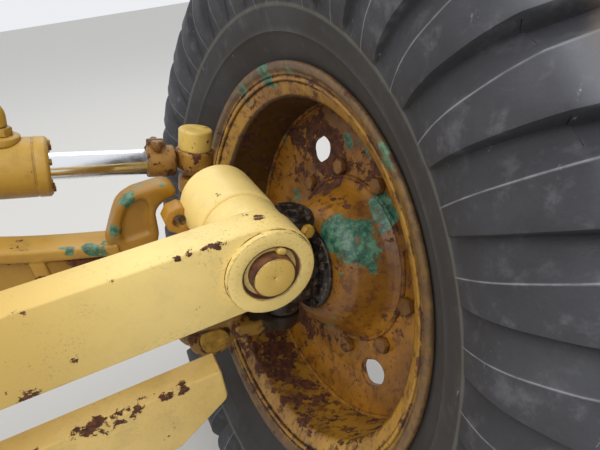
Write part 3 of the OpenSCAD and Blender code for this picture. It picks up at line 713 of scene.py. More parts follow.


# Spots of chips, green coat, rust and oil on single pieces, and rust with painted shade on the wheel's
# disc.
# Columns: x, y and z in the piece's own frame and radius, in metres, strength
SPOTS = {
    "bar_chips": [
        (0.735, -0.169, 0.061, 0.016, 0.22), (0.752, -0.169, 0.061, 0.016, 0.22),
        (0.716, -0.167, 0.061, 0.011, 0.18), (0.700, -0.169, 0.060, 0.008, 0.18),
        (0.632, -0.169, 0.061, 0.010, 0.20), (0.545, -0.169, 0.058, 0.018, 0.20),
        (0.806, -0.140, 0.059, 0.014, 0.20), (0.790, -0.124, 0.062, 0.014, 0.20),
        (0.570, -0.169, -0.020, 0.009, 0.18), (0.520, -0.169, -0.048, 0.024, 0.20)],
    "plate_chips": [
        (0.585, -0.120, -0.221, 0.026, 0.15), (0.612, -0.120, -0.223, 0.030, 0.17),
        (0.650, -0.120, -0.221, 0.036, 0.15), (0.690, -0.120, -0.222, 0.030, 0.14),
        (0.722, -0.120, -0.222, 0.022, 0.18), (0.540, -0.120, -0.226, 0.020, 0.12)],
    "wheel_green": [
        (-0.034, -0.046, 0.094, 0.060, 0.24), (0.000, -0.102, 0.067, 0.040, 0.20),
        (0.026, -0.070, 0.122, 0.056, 0.25), (0.030, -0.052, 0.150, 0.030, 0.17),
        (0.040, 0.060, 0.200, 0.030, 0.15), (-0.028, -0.105, -0.008, 0.016, 0.15),
        (0.045, -0.140, 0.190, 0.040, 0.13)],
    "rim_green": [
        (-0.100, 0.120, 0.300, 0.045, 0.20), (-0.100, 0.060, 0.322, 0.030, 0.18),
        (-0.104, 0.240, -0.225, 0.035, 0.14)],
    # The first spot is rust that also serves as painted shade over the disc's upper part
    "wheel_rust_and_shade": [
        (0.036, 0.140, 0.140, 0.150, 0.15), (0.036, 0.020, 0.230, 0.110, 0.10),
        (0.030, 0.130, -0.170, 0.120, 0.10)],
    "rim_rust": [(-0.055, 0.104, -0.264, 0.120, 0.07), (-0.055, -0.010, -0.275, 0.110, 0.06)],
    "kingpin_oil": [
        (0.113, 0.0, 0.216, 0.075, 0.75), (0.120, 0.0, 0.037, 0.085, 0.75),
        (0.060, 0.0, 0.025, 0.050, 0.35)],
    "foot_rust": [(0.0, 0.02, 0.0, 0.085, 0.17), (0.045, -0.02, 0.045, 0.060, 0.13)],
    "foot_green": [(-0.015, 0.01, 0.030, 0.045, 0.17), (0.060, -0.03, 0.030, 0.030, 0.12)],
    "end_rust": [
        (0.800, 0.060, -0.280, 0.110, 0.11), (0.650, 0.060, -0.110, 0.070, 0.09),
        (0.765, 0.060, -0.150, 0.060, 0.08)],
    "edge_green": [
        (0.552, 0.050, -0.024, 0.010, 0.16), (0.640, 0.050, -0.053, 0.020, 0.20),
        (0.668, 0.050, -0.061, 0.018, 0.22)],
    "end_green": [
        (0.700, 0.055, -0.056, 0.028, 0.20), (0.716, 0.055, -0.040, 0.022, 0.18),
        (0.735, 0.055, -0.006, 0.030, 0.14), (0.790, 0.060, -0.240, 0.045, 0.14),
        (0.720, 0.060, -0.060, 0.020, 0.12)],
}
SPOTS["beam_rust"] = SPOTS["end_rust"] + [(0.560, 0.060, -0.080, 0.070, 0.10)]
FINISH = {}


def make_finishes():
    cream, ochre, lemon = shade("cream"), shade("ochre"), shade("lemon")
    # The bar darkens inboard of its left end: painted shade where the light falls off
    FINISH["bar"] = enamel("bar_enamel", cream, tinted(cream, 0.88), dirt=0.16, rust=0.24, edge=1.0,
                           rust_scale=52.0, seed=1.0, spots="bar_chips",
                           darkened_along=(0, 0.700, 0.500, "#CFAC59"), soft=0.0025, peel=0.5)
    FINISH["cream"] = enamel("cream_enamel", cream, tinted(cream, 0.86), dirt=0.22, rust=0.35, edge=0.75,
                             rust_scale=22.0)
    FINISH["ochre"] = enamel("ochre_enamel", ochre, linear("#96691F"), dirt=0.4, rust=0.45, edge=0.5,
                             under=0.55)
    FINISH["beam"] = enamel("beam_enamel", linear("#B98F39"), linear("#A17A2E"), dirt=0.35, rust=0.45,
                            edge=0.6, under=0.5, seed=2.0, spots="beam_rust", greens="edge_green")
    FINISH["cap"] = enamel("cap_enamel", linear("#DDBE66"), linear("#C9A54C"), dirt=0.35, rust=0.5,
                           edge=1.0, rust_scale=40.0, seed=12.0)
    FINISH["lemon"] = enamel("yellow_enamel", lemon, tinted(lemon, 0.82), dirt=0.3, rust=0.35, edge=0.9,
                             rust_scale=30.0, mottle=0.1)
    FINISH["wheel"] = enamel("wheel_enamel", linear("#B2781C"), linear("#7A4E15"), dirt=0.55, rust=0.64,
                             edge=0.4, under=0.5, rust_scale=24.0, seed=4.0, mottle=0.7,
                             greens="wheel_green", spots="wheel_rust_and_shade")
    # Rim: rust inside its barrel, and painted shade there that is darkest at the top
    FINISH["rim"] = enamel("rim_enamel", linear("#BA8A2C"), linear("#8A6026"), dirt=0.6, rust=0.6,
                           edge=0.45, under=0.45, rust_scale=34.0, seed=6.0, mottle=0.75,
                           greens="rim_green", spots="rim_rust", inside=(0.287, 0.07, 0.85),
                           lip=(0.321, 0.95))
    FINISH["rust"] = rusted_steel("rusted_steel", linear("#3A2218"), linear("#7A4A2C"))
    FINISH["grease"] = greasy("greasy_steel")
    FINISH["bolts"] = enamel("bolt_enamel", linear("#8A5C1E"), linear("#5E3A16"), dirt=0.6, rust=0.75,
                             edge=0.8, under=0.4, rust_scale=40.0, seed=15.0, mottle=0.7)
    FINISH["chrome"] = chrome()
    FINISH["machined"] = machined()
    FINISH["yoke"] = enamel("yoke_enamel", cream, tinted(cream, 0.88), dirt=0.2, rust=0.35, edge=0.75,
                            rust_scale=22.0, seed=3.0, grime="kingpin_oil", spots="foot_rust",
                            greens="foot_green", darkened_along=(2, 0.115, 0.055, "#94702E"))
    FINISH["beam_end"] = enamel("beam_end_enamel", linear("#B0801F"), linear("#946A1B"), dirt=0.45,
                                rust=0.45, edge=0.6, under=0.5, seed=5.0, spots="end_rust",
                                greens="end_green")
    FINISH["pin_end"] = rusted_steel("pin_steel", linear("#8A6A28"), linear("#C49B38"))
    FINISH["plate"] = enamel("plate_enamel", linear("#E3C273"), linear("#CDA95A"), dirt=0.25, rust=0.28,
                             edge=1.3, rust_scale=50.0, seed=2.0, spots="plate_chips", soft=0.0025,
                             peel=0.4)
    FINISH["knuckle"] = greasy("greasy_knuckle")
    FINISH["arm"] = enamel("arm_enamel", ochre, linear("#96691F"), dirt=0.5, rust=0.6, edge=0.5, under=0.4,
                           seed=8.0)
    FINISH["rod_end"] = enamel("rod_end_enamel", linear("#C4923C"), linear("#8C6226"), dirt=0.5, rust=0.95,
                               edge=0.8, rust_scale=36.0, seed=9.0, mottle=0.5)
    FINISH["rubber"] = tyre_rubber()


# CAD solids that are shown as they are, in turned steel
BARE_SOLIDS = ["pivot_bush", "steer_ball_left", "steer_ball_right", "tie_ball"]


# Tyre: half of its section from the bead out to the crown.
# Columns: distance from the middle plane, radius over the lugs, depth of the grooves, in metres
TYRE_SECTION = [
    (0.0920, 0.3070, 0.000), (0.0965, 0.3240, 0.000), (0.1000, 0.3380, 0.000), (0.1090, 0.3490, 0.000),
    (0.1180, 0.3610, 0.000), (0.1262, 0.3720, 0.000), (0.1290, 0.3745, 0.000), (0.1290, 0.3785, 0.000),
    (0.1340, 0.3890, 0.000), (0.1410, 0.4050, 0.000), (0.1432, 0.4095, 0.001), (0.1450, 0.4130, 0.0045),
    (0.1480, 0.4200, 0.006), (0.1550, 0.4400, 0.009),
    (0.1578, 0.4570, 0.0115), (0.1581, 0.4720, 0.013), (0.1549, 0.4930, 0.015), (0.1493, 0.5160, 0.018),
    (0.1405, 0.5350, 0.021), (0.1378, 0.5396, 0.022), (0.1355, 0.5425, 0.022), (0.1270, 0.5490, 0.023),
    (0.1190, 0.5555, 0.023), (0.1000, 0.5710, 0.023), (0.0800, 0.5865, 0.022), (0.0560, 0.5985, 0.020),
    (0.0320, 0.6035, 0.018), (0.0100, 0.6045, 0.014)]
# Stations of one lug's pitch, the angle rising. Columns: share of the pitch at the lug's root,
# the same at the shoulder, height from the groove's floor (0) to the lug's top (1), tone from
# painted shade in the groove (0) over the lug's face (0.5) to a painted highlight on its ridge (1),
# with painted shade on the slope behind the ridge
LUG_STATIONS = [(0.105, -0.115, 0.00, 0.00), (0.120, -0.100, 0.10, 0.05), (0.140, -0.070, 0.60, 0.30),
                (0.155, -0.050, 0.95, 0.45), (0.190, -0.010, 1.00, 0.50), (0.300, 0.140, 0.99, 0.50),
                (0.430, 0.320, 0.97, 0.50), (0.535, 0.485, 0.97, 0.50), (0.560, 0.515, 1.00, 1.00),
                (0.585, 0.540, 0.93, 0.28), (0.700, 0.650, 0.62, 0.24), (0.840, 0.750, 0.34, 0.22),
                (0.980, 0.850, 0.10, 0.18)]
LUG_ROOT, LUG_SHOULDER = 0.409, 0.541


def tyre_form():
    """The lugged tyre in the wheel's frame, and each point's painted light and shade on its lug."""
    z = sizes()
    half = [(-x, r, depth) for x, r, depth in smooth_curve([Vector(row) for row in TYRE_SECTION], 2)]
    loop = half + [(-x, r, d) for x, r, d in reversed(half)]
    n = len(loop)
    normals = []
    for i in range(n):
        a, b = Vector(loop[max(i - 1, 0)][:2]), Vector(loop[min(i + 1, n - 1)][:2])
        u = (b - a).normalized()
        normals.append(Vector((-u.y, u.x)))
    pitch = 2 * math.pi / z.lugs
    points, tones = [], []
    for k in range(z.lugs):
        for root, shoulder, height, tone in LUG_STATIONS:
            for (x, r, depth), m in zip(loop, normals):
                t = min(max((r - LUG_ROOT) / (LUG_SHOULDER - LUG_ROOT), 0.0), 1.3)
                over = min(max(x / 0.060 + 0.5, 0.0), 1.0)
                over = over * over * (3 - 2 * over)
                a = pitch * (k + root + (shoulder - root) * t + 0.5 * over)
                wear = 1.0 - 0.05 * noise.noise(Vector((x * 9, math.cos(a) * 6, math.sin(a) * 6)))
                low = depth * (1 - height * wear)
                px, pr = x - m.x * low, r - m.y * low
                points.append((px, -pr * math.cos(a), pr * math.sin(a)))
                tones.append(tone if depth > 0 else 0.5)
    return (points, joined(z.lugs * len(LUG_STATIONS), n, True)), tones


class AXLE_OT_tyres(bpy.types.Operator):
    """Both tyres, with a lug for each pitch on either shoulder"""
    bl_idname = "axle.tyres"
    bl_label = "Tyres"

    def execute(self, context):
        form, tones = tyre_form()
        for s in (LEFT, RIGHT):
            name = "tyre_" + SIDES[s]
            obj = piece(name + "_cover", [form], at_wheel(s), "wheel_" + BODY[s],
                        "rubber", [name], mirror=s == RIGHT, smooth=34)
            if len(obj.data.vertices) != len(tones):
                raise RuntimeError("the tyre's points were merged")
            # Each point's painted light and shade on its lug, read by the rubber's colour
            lug = obj.data.attributes.new("lug", "FLOAT", "POINT")
            lug.data.foreach_set("value", tones)
        return {"FINISHED"}


# Turn of the discs' first hole and bolt about the axle, in degrees
WHEEL_MARK = 51


# Rim, from the CAD section, with a rolled lip: outline as (radius, x)
def rim_outline(z):
    r, h, b = z.rim_r, z.rim_half, z.barrel_r
    return [(r - 0.001, -h), (r, -h + 0.007), (0.310, -h + 0.009), (0.3066, -0.092), (0.3066, 0.088),
            (0.298, 0.094), (0.298, h), (b, h), (b, -0.076), (b + 0.002, -0.0795), (b + 0.007, -0.084),
            (0.318, -0.1005), (0.322, -0.1015), (0.326, -0.1065), (0.331, -h)]


class AXLE_OT_wheels(bpy.types.Operator):
    """Rims, side rings, discs with their hand holes, hubs, bolts and caps"""
    bl_idname = "axle.wheels"
    bl_label = "Wheels"

    def execute(self, context):
        z = sizes()
        x0 = 0.163 - z.wheel_x
        for s in (LEFT, RIGHT):
            side, body, place, mirror = SIDES[s], "wheel_" + BODY[s], at_wheel(s), s == RIGHT
            piece(f"rim_{side}_base", [lathe(rim_outline(z), 180, 0.002)], place, body, "rim",
                  ["rim_" + side], mirror)
            ring = [(0.2983, 0.095), (0.3063, 0.090), (0.3063, 0.098), (0.314, 0.101), (z.rim_r, 0.101),
                    (z.rim_r, z.rim_half), (0.2983, z.rim_half)]
            piece(f"side_ring_{side}_band", [lathe(ring, 180, 0.0015)], place, body, "rim",
                  ["side_ring_" + side], mirror)
            b = z.barrel_r - 0.0003
            disc = [(0.148, 0.037), (0.214, 0.037), (0.234, 0.033), (b, 0.020), (b, 0.030), (0.236, 0.0435),
                    (0.218, 0.047), (0.148, 0.047)]
            holes = []
            oval = [polar(0.023, a, -0.210, math.copysign(0.008, 180 - a)) for a in range(5, 360, 10)]
            for i in range(4):
                turn = spin(WHEEL_MARK + 90 + 90 * i, "X")
                holes.append(moved(side_slab(oval, -0.02, 0.1, 0.0001), turn))
            piece(f"disc_{side}_plate", [lathe(disc, 144, 0.002)], place, body, "wheel",
                  ["disc_" + side], mirror, cuts=holes)
            turns = [2 * math.pi * k / 90 for k in range(91)]
            seams = [weld([(x, -r * math.cos(a), r * math.sin(a)) for a in turns], 0.0045)
                     for r, x in ((b - 0.001, 0.0195), (b - 0.001, 0.0305), (0.1495, 0.0365))]
            piece(f"disc_{side}_welds", seams, place, body, "wheel", (), mirror)
            hub = [(0.036, x0), (0.076, x0), (0.089, x0 + 0.003), (0.100, x0 + 0.010), (0.110, x0 + 0.021),
                   (0.118, x0 + 0.037), (0.1245, x0 + 0.052), (0.131, x0 + 0.066), (0.138, 0.0285),
                   (0.1477, 0.035), (0.1477, 0.047), (0.186, 0.047), (0.186, 0.061), (0.110, 0.066),
                   (0.094, 0.076), (0.086, 0.122), (0.084, 0.128), (0.036, 0.128)]
            bolts = []
            for i in range(10):
                turn = spin(WHEEL_MARK + 36 * (i + 0.5), "X")
                for x, length, width in ((0.037, -0.012, 0.030), (0.061, 0.016, 0.034)):
                    spot = turn @ at(x, -z.bolt_circle, 0) @ ON_X
                    head = scaled(hexagon(width, abs(length)), 1, math.copysign(1, length))
                    bolts.append(moved(head, spot))
                shank = pipe([(0.060, -z.bolt_circle, 0), (0.084, -z.bolt_circle, 0)], 0.0095, 16)
                bolts.append(moved(shank, turn))
            piece(f"hub_{side}_casting", [lathe(hub, 120, 0.002)], place, body, "wheel",
                  ["hub_" + side], mirror)
            piece(f"hub_{side}_bolts", bolts, place, body, "bolts", (), mirror)
            cap = [(0.0, 0.1285), (0.074, 0.1285), (0.074, 0.136), (0.056, 0.142), (0.052, 0.158),
                   (0.044, 0.164), (0.0, 0.166)]
            forms = [lathe(cap, 72, 0.002)]
            for i in range(6):
                turn = spin(60 * i + 12, "X")
                forms.append(moved(hexagon(0.014, 0.006), turn @ at(0.1355, -0.064, 0) @ ON_X))
            piece(f"hub_cap_{side}_cover", forms, place, body, "wheel", ["hub_cap_" + side],
                  mirror)
        return {"FINISHED"}


class AXLE_OT_lean_bar(bpy.types.Operator):
    """The lean bar with its eyes, the upper lean pins and their keys"""
    bl_idname = "axle.lean_bar"
    bl_label = "Lean bar"

    def execute(self, context):
        z = sizes()
        x, up, down, front = z.pin_x, z.bar_up, z.bar_down, z.bar_front
        rear = front + z.bar_t
        r = up - 0.002
        end = [polar(r, a, x) for a in range(84, -56, -7)]
        half = [(x - 0.012, up)] + end + [(x - 0.006, -down)]
        outline = half + [(-px, pz) for px, pz in reversed(half)]
        forms = [slab(outline, front, rear, 0.0020)]
        face = front - 0.008
        for s in (LEFT, RIGHT):
            eye = [(z.pin_r + 0.0005, face + 0.0165), (0.037, face + 0.017), (0.037, face),
                   (z.ring_r, face), (z.ring_r, -0.0705), (z.pin_r + 0.0005, -0.0705)]
            forms.append(turned(eye, 96, 0.0018, s * x))
        piece("lean_bar_beam", forms, at_bar(), "bar", "bar", ["lean_bar"])
        for s in (LEFT, RIGHT):
            pin = [(0.0, face - 0.0065), (0.0022, face - 0.009), (z.pin_r - 0.002, face - 0.009),
                   (z.pin_r - 0.002, face + 0.009), (z.pin_r, face + 0.009), (z.pin_r, 0.036),
                   (z.pin_r + 0.008, 0.0365), (z.pin_r + 0.008, 0.041), (0.0, 0.041)]
            forms = [turned(pin, 72, 0.0022, 0, z.link)]
            turn = at(0, 0, z.link) @ spin(15, "Y")
            key = slab(band(-0.006, 0.006, z.pin_r - 0.001, z.pin_r + 0.0075), face - 0.002, face + 0.016,
                       0.002, 0.003)
            forms.append(moved(key, turn))
            side = SIDES[s]
            piece(f"upper_pin_{side}_shank", forms, at_yoke(s), "yoke_" + BODY[s], "bar",
                  ["upper_pin_" + side])
            collar = [(z.pin_r - 0.003, face - 0.0076), (z.pin_r - 0.0004, face - 0.0070),
                      (z.pin_r - 0.0002, face + 0.0088), (z.pin_r - 0.003, face + 0.0088)]
            piece(f"upper_pin_{side}_collar", [turned(collar, 72, 0.0005, 0, z.link)], at_yoke(s),
                  "yoke_" + BODY[s], "rust")
            # A dark ring at the back of the eye around the pin: grease, and painted shade of the recess
            dirt = [(z.pin_r + 0.0006, face + 0.010), (0.0335, face + 0.010), (0.0350, face + 0.002),
                    (0.0368, face + 0.0015), (0.0368, face + 0.0168), (z.pin_r + 0.0006, face + 0.0162)]
            piece(f"lean_bar_{side}_grease", [turned(dirt, 72, 0.0005, s * x)], at_bar(), "bar",
                  "rust")
        return {"FINISHED"}


# Yokes, in their own frame: lower lean pin at the origin, X outboard.
# Columns of the web: z, low x, high x, low y, high y
YOKE_WEB = [(0.012, -0.030, 0.034, 0.009, 0.036), (0.040, -0.0325, 0.040, -0.009, 0.034),
            (0.110, -0.040, 0.052, -0.038, 0.032), (0.150, -0.044, 0.052, -0.054, 0.032),
            (0.250, -0.044, 0.052, -0.054, 0.032)]
# Radii of the bosses on the upper and the lower lean pin
UPPER_R, LOWER_R = 0.058, 0.042
# Kingpin bosses, upper and lower: low z, high z. Lock bolt: height, and turn about the kingpin
KINGPIN_BOSSES = [(0.199, 0.233), (0.023, 0.051)]
LOCK_BOLT_Z, LOCK_BOLT_TURN = 0.222, -78
# Voxel sizes in metres at which castings and forgings get their filleted skin
YOKE_VOXEL, BEAM_END_VOXEL, KNUCKLE_VOXEL, ARM_VOXEL, ROD_END_VOXEL = 0.0026, 0.0027, 0.0028, 0.0025, 0.0018


class AXLE_OT_yokes(bpy.types.Operator):
    """Yokes with their lean bosses, kingpin bosses and lock lugs, and the greasy kingpin caps"""
    bl_idname = "axle.yokes"
    bl_label = "Yokes"

    def execute(self, context):
        z = sizes()
        lug = (-0.064, z.link - 0.016)
        octagon = [polar(0.022, a, *lug) for a in range(0, 360, 45)]
        for s in (LEFT, RIGHT):
            side, body, place, mirror = SIDES[s], "yoke_" + BODY[s], at_yoke(s), s == RIGHT
            forms = [turned(drum(UPPER_R, -0.069, 0.036), 120, 0.003, 0, z.link),
                     turned(drum(LOWER_R, 0.008, 0.043), 96, 0.003), loft(YOKE_WEB),
                     block((-0.060, 0.009, z.link - 0.033), (-0.030, 0.033, z.link + 0.001), 0.003)]
            for low, high in KINGPIN_BOSSES:
                forms.append(about_z(drum(0.037, low, high), 96, 0.003, z.kingpin_x))
                forms.append(block((0.020, -0.035, low + 0.001), (z.kingpin_x, 0.035, high - 0.001), 0.006))
            bores = [turned(drum(0.0253, 0.0, 0.05), 64, 0),
                     turned(drum(z.pin_r + 0.0004, -0.08, 0.05), 64, 0, 0, z.link),
                     turned(drum(0.010, 0.0, 0.05), 40, 0, lug[0], lug[1])]
            piece(f"yoke_{side}_casting", forms, place, body, "yoke", ["yoke_" + side],
                  mirror, voxel=YOKE_VOXEL, bores=bores, smooth=50)
            piece(f"yoke_{side}_lug", [slab(octagon, 0.006, 0.036, 0.002, 0.003)], place, body,
                  "ochre", (), mirror, cuts=[bores[2]])
            turn = at(z.kingpin_x, 0, LOCK_BOLT_Z) @ spin(LOCK_BOLT_TURN, "Z")
            head = moved(hexagon(0.022, 0.012), turn @ at(0.0365, 0, 0) @ ON_X)
            piece(f"yoke_{side}_lock_bolt", [head], place, body, "lemon", (), mirror)
            top = KINGPIN_BOSSES[0][1]
            cap = [(0.0, 0.016), (0.0188, 0.016), (0.0188, top), (0.033, top), (0.033, top + 0.004),
                   (0.029, top + 0.007), (0.0, top + 0.0085)]
            forms = [about_z(cap, 72, 0.0015, z.kingpin_x)]
            for a in (20, 140, 260):
                spot = (*polar(0.022, a, z.kingpin_x), top + 0.002)
                forms.append(moved(hexagon(0.012, 0.006), at(*spot) @ spin(90, "X")))
            piece(f"kingpin_{side}_cap", forms, place, body, "grease", ["kingpin_" + side],
                  mirror)
        return {"FINISHED"}


# Axle beam, in the part's own frame. Columns: x from the middle outboard, z
BEAM_TOP = [(0.0, 0.092), (0.120, 0.088), (0.300, 0.060), (0.450, 0.017), (0.566, -0.028), (0.634, -0.050),
            (0.706, -0.070)]
BEAM_BOTTOM = [(0.0, -0.084), (0.150, -0.090), (0.350, -0.118), (0.550, -0.168), (0.680, -0.226),
               (0.752, -0.292)]
BEAM_FRONT, FLANGE_W, FLANGE_T, WEB_T = 0.048, 0.052, 0.018, 0.016
RIBS_X = (-0.598, -0.400, -0.200, 0.200, 0.400, 0.598)
# Columns of the cast end's outline: x, z, radius of the corner
BEAM_END = [(0.685, -0.086, 0.0), (0.694, -0.062, 0.022), (0.712, -0.029, 0.020), (0.722, -0.013, 0.016),
            (0.734, -0.004, 0.016), (0.750, 0.001, 0.010), (0.790, 0.003, 0.010), (0.804, -0.002, 0.008),
            (0.810, -0.011, 0.006), (0.807, -0.022, 0.008), (0.788, -0.025, 0.020), (0.778, -0.031, 0.015),
            (0.771, -0.039, 0.020), (0.768, -0.076, 0.030), (0.752, -0.110, 0.020), (0.746, -0.150, 0.030),
            (0.756, -0.204, 0.030), (0.800, -0.280, 0.0), (0.752, -0.292, 0.010), (0.680, -0.226, 0.020),
            (0.602, -0.188, 0.004), (0.602, -0.058, 0.004)]
HORN_POCKET = [(0.711, -0.070, 0.006), (0.721, -0.037, 0.014), (0.731, -0.021, 0.012),
               (0.744, -0.012, 0.010), (0.763, -0.010, 0.006), (0.764, -0.030, 0.010),
               (0.757, -0.050, 0.010), (0.756, -0.070, 0.006)]


class AXLE_OT_beam(bpy.types.Operator):
    """Arched beam: welded flanges, web and ribs, its cast ends with their horns, and the pivot boss"""
    bl_idname = "axle.beam"
    bl_label = "Axle beam"

    def execute(self, context):
        z = sizes()
        rear = BEAM_FRONT + FLANGE_W
        top, bottom = smooth_curve(BEAM_TOP), smooth_curve(BEAM_BOTTOM)
        bottom = [p for p in bottom if p[0] < 0.70]
        forms = []
        for line, drop in ((top, -FLANGE_T), (bottom, FLANGE_T)):
            outer = mirrored(line)
            forms.append(slab(outer + [(x, h + drop) for x, h in reversed(outer)], BEAM_FRONT, rear, 0.003))
        web = mirrored([(x, h - 0.010) for x, h in top if x < 0.66])
        low = mirrored([(x, h + 0.010) for x, h in bottom if x < 0.66])
        web_front = BEAM_FRONT + (FLANGE_W - WEB_T) / 2
        forms.append(slab(web + low[::-1], web_front, web_front + WEB_T, 0.001))
        seams = []
        for x in RIBS_X:
            high, foot = height_at(BEAM_TOP, abs(x)) - FLANGE_T, height_at(BEAM_BOTTOM, abs(x)) + FLANGE_T
            forms.append(block((x - 0.010, BEAM_FRONT + 0.0005, foot - 0.004),
                               (x + 0.010, rear - 0.0005, high + 0.004), 0.002))
            for line, level in ((BEAM_TOP, high - 0.001), (BEAM_BOTTOM, foot + 0.001)):
                for side in (-1, 1):
                    aside = abs(x) + 0.001 * side * (1 if x > 0 else -1)
                    h = level + (height_at(line, aside) - height_at(line, abs(x))) * 10
                    seams.append(weld([(x + side * 0.0105, y, h)
                                       for y in (BEAM_FRONT + 0.004, web_front + 0.001)], 0.0035))
        piece("axle_beam_plates", forms, Matrix(), "axle", "beam", ["axle_beam"])
        for line, drop in ((top, -FLANGE_T - 0.001), (bottom, FLANGE_T + 0.001)):
            run = mirrored([(x, h + drop) for x, h in line if x < 0.60])
            for y in (web_front - 0.001, web_front + WEB_T + 0.001):
                seams.append(weld([(x, y, h) for x, h in run], 0.0042))
        piece("axle_beam_welds", seams, Matrix(), "axle", "beam")
        for s in (LEFT, RIGHT):
            forms = [slab(rounded(BEAM_END), BEAM_FRONT + 0.004, rear - 0.010, 0.003),
                     turned(drum(0.056, BEAM_FRONT, rear + 0.003), 96, 0.003, z.pin_x, -z.pin_drop)]
            cuts = [slab(rounded(HORN_POCKET), BEAM_FRONT - 0.01, BEAM_FRONT + 0.011, 0.0005)]
            bore = turned(drum(0.0251, 0.0, 0.15), 64, 0, z.pin_x, -z.pin_drop)
            piece(f"axle_beam_end_{SIDES[s]}", forms, Matrix(), "axle", "beam_end", (),
                  s == RIGHT, cuts=cuts, voxel=BEAM_END_VOXEL, soften=4, bores=[bore], smooth=50)
            pin = [(0.0, -0.002), (0.0245, -0.002), (0.0248, 0.104), (0.039, 0.1035), (0.039, 0.113),
                   (0.0248, 0.1135), (0.0248, 0.115), (0.0, 0.115)]
            forms = [turned(pin, 72, 0.0018, z.pin_x, -z.pin_drop)]
            lock = slab(band(z.pin_x + 0.030, z.pin_x + 0.052, -z.pin_drop - 0.012, -z.pin_drop + 0.012),
                        rear + 0.0035, rear + 0.0095, 0.001, 0.003)
            forms += [lock] + bolt_y(z.pin_x + 0.043, rear + 0.0095, -z.pin_drop, 0.014, 0.005, 1)
            piece(f"lower_pin_{SIDES[s]}_shank", forms, Matrix(), "axle", "pin_end",
                  ["lower_pin_" + SIDES[s]], s == RIGHT)
        boss = band(0.0462, 0.084, -0.096, 0.096)
        rings = [weld([(0.0855 * math.cos(a), y, 0.0855 * math.sin(a))
                       for a in (math.radians(k) for k in range(start, start + 61, 3))], 0.0045)
                 for y in (BEAM_FRONT - 0.001, rear + 0.001) for start in (-30, 150)]
        forms = [turned(boss, 128, 0.003), *rings]
        piece("axle_beam_pivot", forms, Matrix(), "axle", "beam")
        return {"FINISHED"}


# Front plate: y of its front face, thickness, and x of its brackets
PLATE_FRONT, PLATE_T, BRACKET_X = -0.120, 0.042, 0.420


class AXLE_OT_front_plate(bpy.types.Operator):
    """Lower front plate, its brackets from the beam and the lean cylinder's bracket"""
    bl_idname = "axle.front_plate"
    bl_label = "Front plate"

    def execute(self, context):
        z = sizes()
        end, low, high = z.pin_x - 0.017, -z.pin_drop - 0.060, -z.pin_drop + 0.060
        half = [(end - 0.085, low), (end - 0.003, low + 0.058), (end, low + 0.067), (end, high)]
        outline = half + [(-x, h) for x, h in reversed(half)]
        back = PLATE_FRONT + PLATE_T
        piece("front_plate_bar", [slab(outline, PLATE_FRONT, back, 0.003, 0.004)], Matrix(), "axle",
              "plate", ["front_plate"])
        profile = [(back, -0.330), (back, -0.236), (0.028, -0.150), (0.047, -0.130), (0.047, -0.1345),
                   (0.100, -0.1345), (0.100, -0.156), (0.020, -0.326)]
        forms = []
        for s in (LEFT, RIGHT):
            forms.append(side_slab(profile, s * BRACKET_X - 0.015, s * BRACKET_X + 0.015, 0.0025))
            for x in (s * BRACKET_X - 0.016, s * BRACKET_X + 0.016):
                forms.append(weld([(x, back + 0.001, -0.328), (x, back + 0.001, -0.240)], 0.0045))
        piece("plate_brackets_pair", forms, Matrix(), "axle", "ochre", ["plate_brackets"])
        px, py, pz = LEAN_PIN
        top = 0.060 - z.pin_drop
        forms = [block((px - 0.050, PLATE_FRONT - 0.062, top - 0.100),
                       (px + 0.050, PLATE_FRONT - 0.0002, top), 0.003)]
        for e in (-1, 1):
            y0, y1 = py + e * 0.028 - 0.008, py + e * 0.028 + 0.008
            arc = [polar(0.030, a, px, pz) for a in range(0, 181, 12)]
            outline = [(px + 0.030, top - 0.002), *arc, (px - 0.030, top - 0.002)]
            forms.append(slab(outline, y0, y1, 0.002))
            forms += [weld([(px - 0.029, y, top + 0.001), (px + 0.029, y, top + 0.001)], 0.003)
                      for y in (y0, y1)]
        for drop in (0.016, 0.084):
            for x in (px - 0.036, px + 0.036):
                forms += bolt_y(x, PLATE_FRONT - 0.062, top - drop)
        pin = [(0.0, py - 0.042), (0.022, py - 0.042), (0.022, py - 0.037), (0.0157, py - 0.0365),
               (0.0157, py + 0.042), (0.0, py + 0.042)]
        forms.append(turned(pin, 48, 0.001, px, pz))
        piece("lean_anchor_bracket", forms, Matrix(), "axle", "cream", ["lean_anchor"])
        return {"FINISHED"}


# Steering and lean cylinders, as in the part's source
BALL = (0.022, 0.198, 0.258)
TIE_Y, BASE_HALF, CROSS_Z = 0.180, 0.019, 0.140
ANCHOR_X, ANCHOR_Z = 0.290, 0.125
LEAN_PIN = (-0.560, -0.145, -0.150)
LUG_DROP, LUG_RISE, EYE_HALF = 0.104, 0.010, 0.016
BARREL_R, ROD_R, BARREL_START, BARREL_END, ROD_LENGTH, ROD_GRIP = 0.047, 0.022, 0.052, 0.304, 0.331, 0.062
# Radii of the tie rod's right ball and of the arms' seats for the left one and for the rods' balls
TIE_BALL_R, TIE_SEAT_R, BALL_SEAT_R = 0.013, 0.0174, 0.0204


def ball_at(s):
    """The centre of a steering rod's ball."""
    z = sizes()
    return at_kingpin(s) @ Vector((s * (BALL[0] - z.kingpin_x), BALL[1], BALL[2]))


def tie_at(s):
    return at_kingpin(s) @ Vector((0, TIE_Y, 0))


def anchor_at(s):
    return at_bar() @ Vector((s * ANCHOR_X, BALL[1], ANCHOR_Z))


def aimed(start, end):
    """A frame at start whose X points to end, its Y level."""
    d = end - start
    return (Matrix.Translation(start) @ Matrix.Rotation(math.atan2(d.y, d.x), 4, "Z")
            @ Matrix.Rotation(-math.asin(d.z / d.length), 4, "Y"))


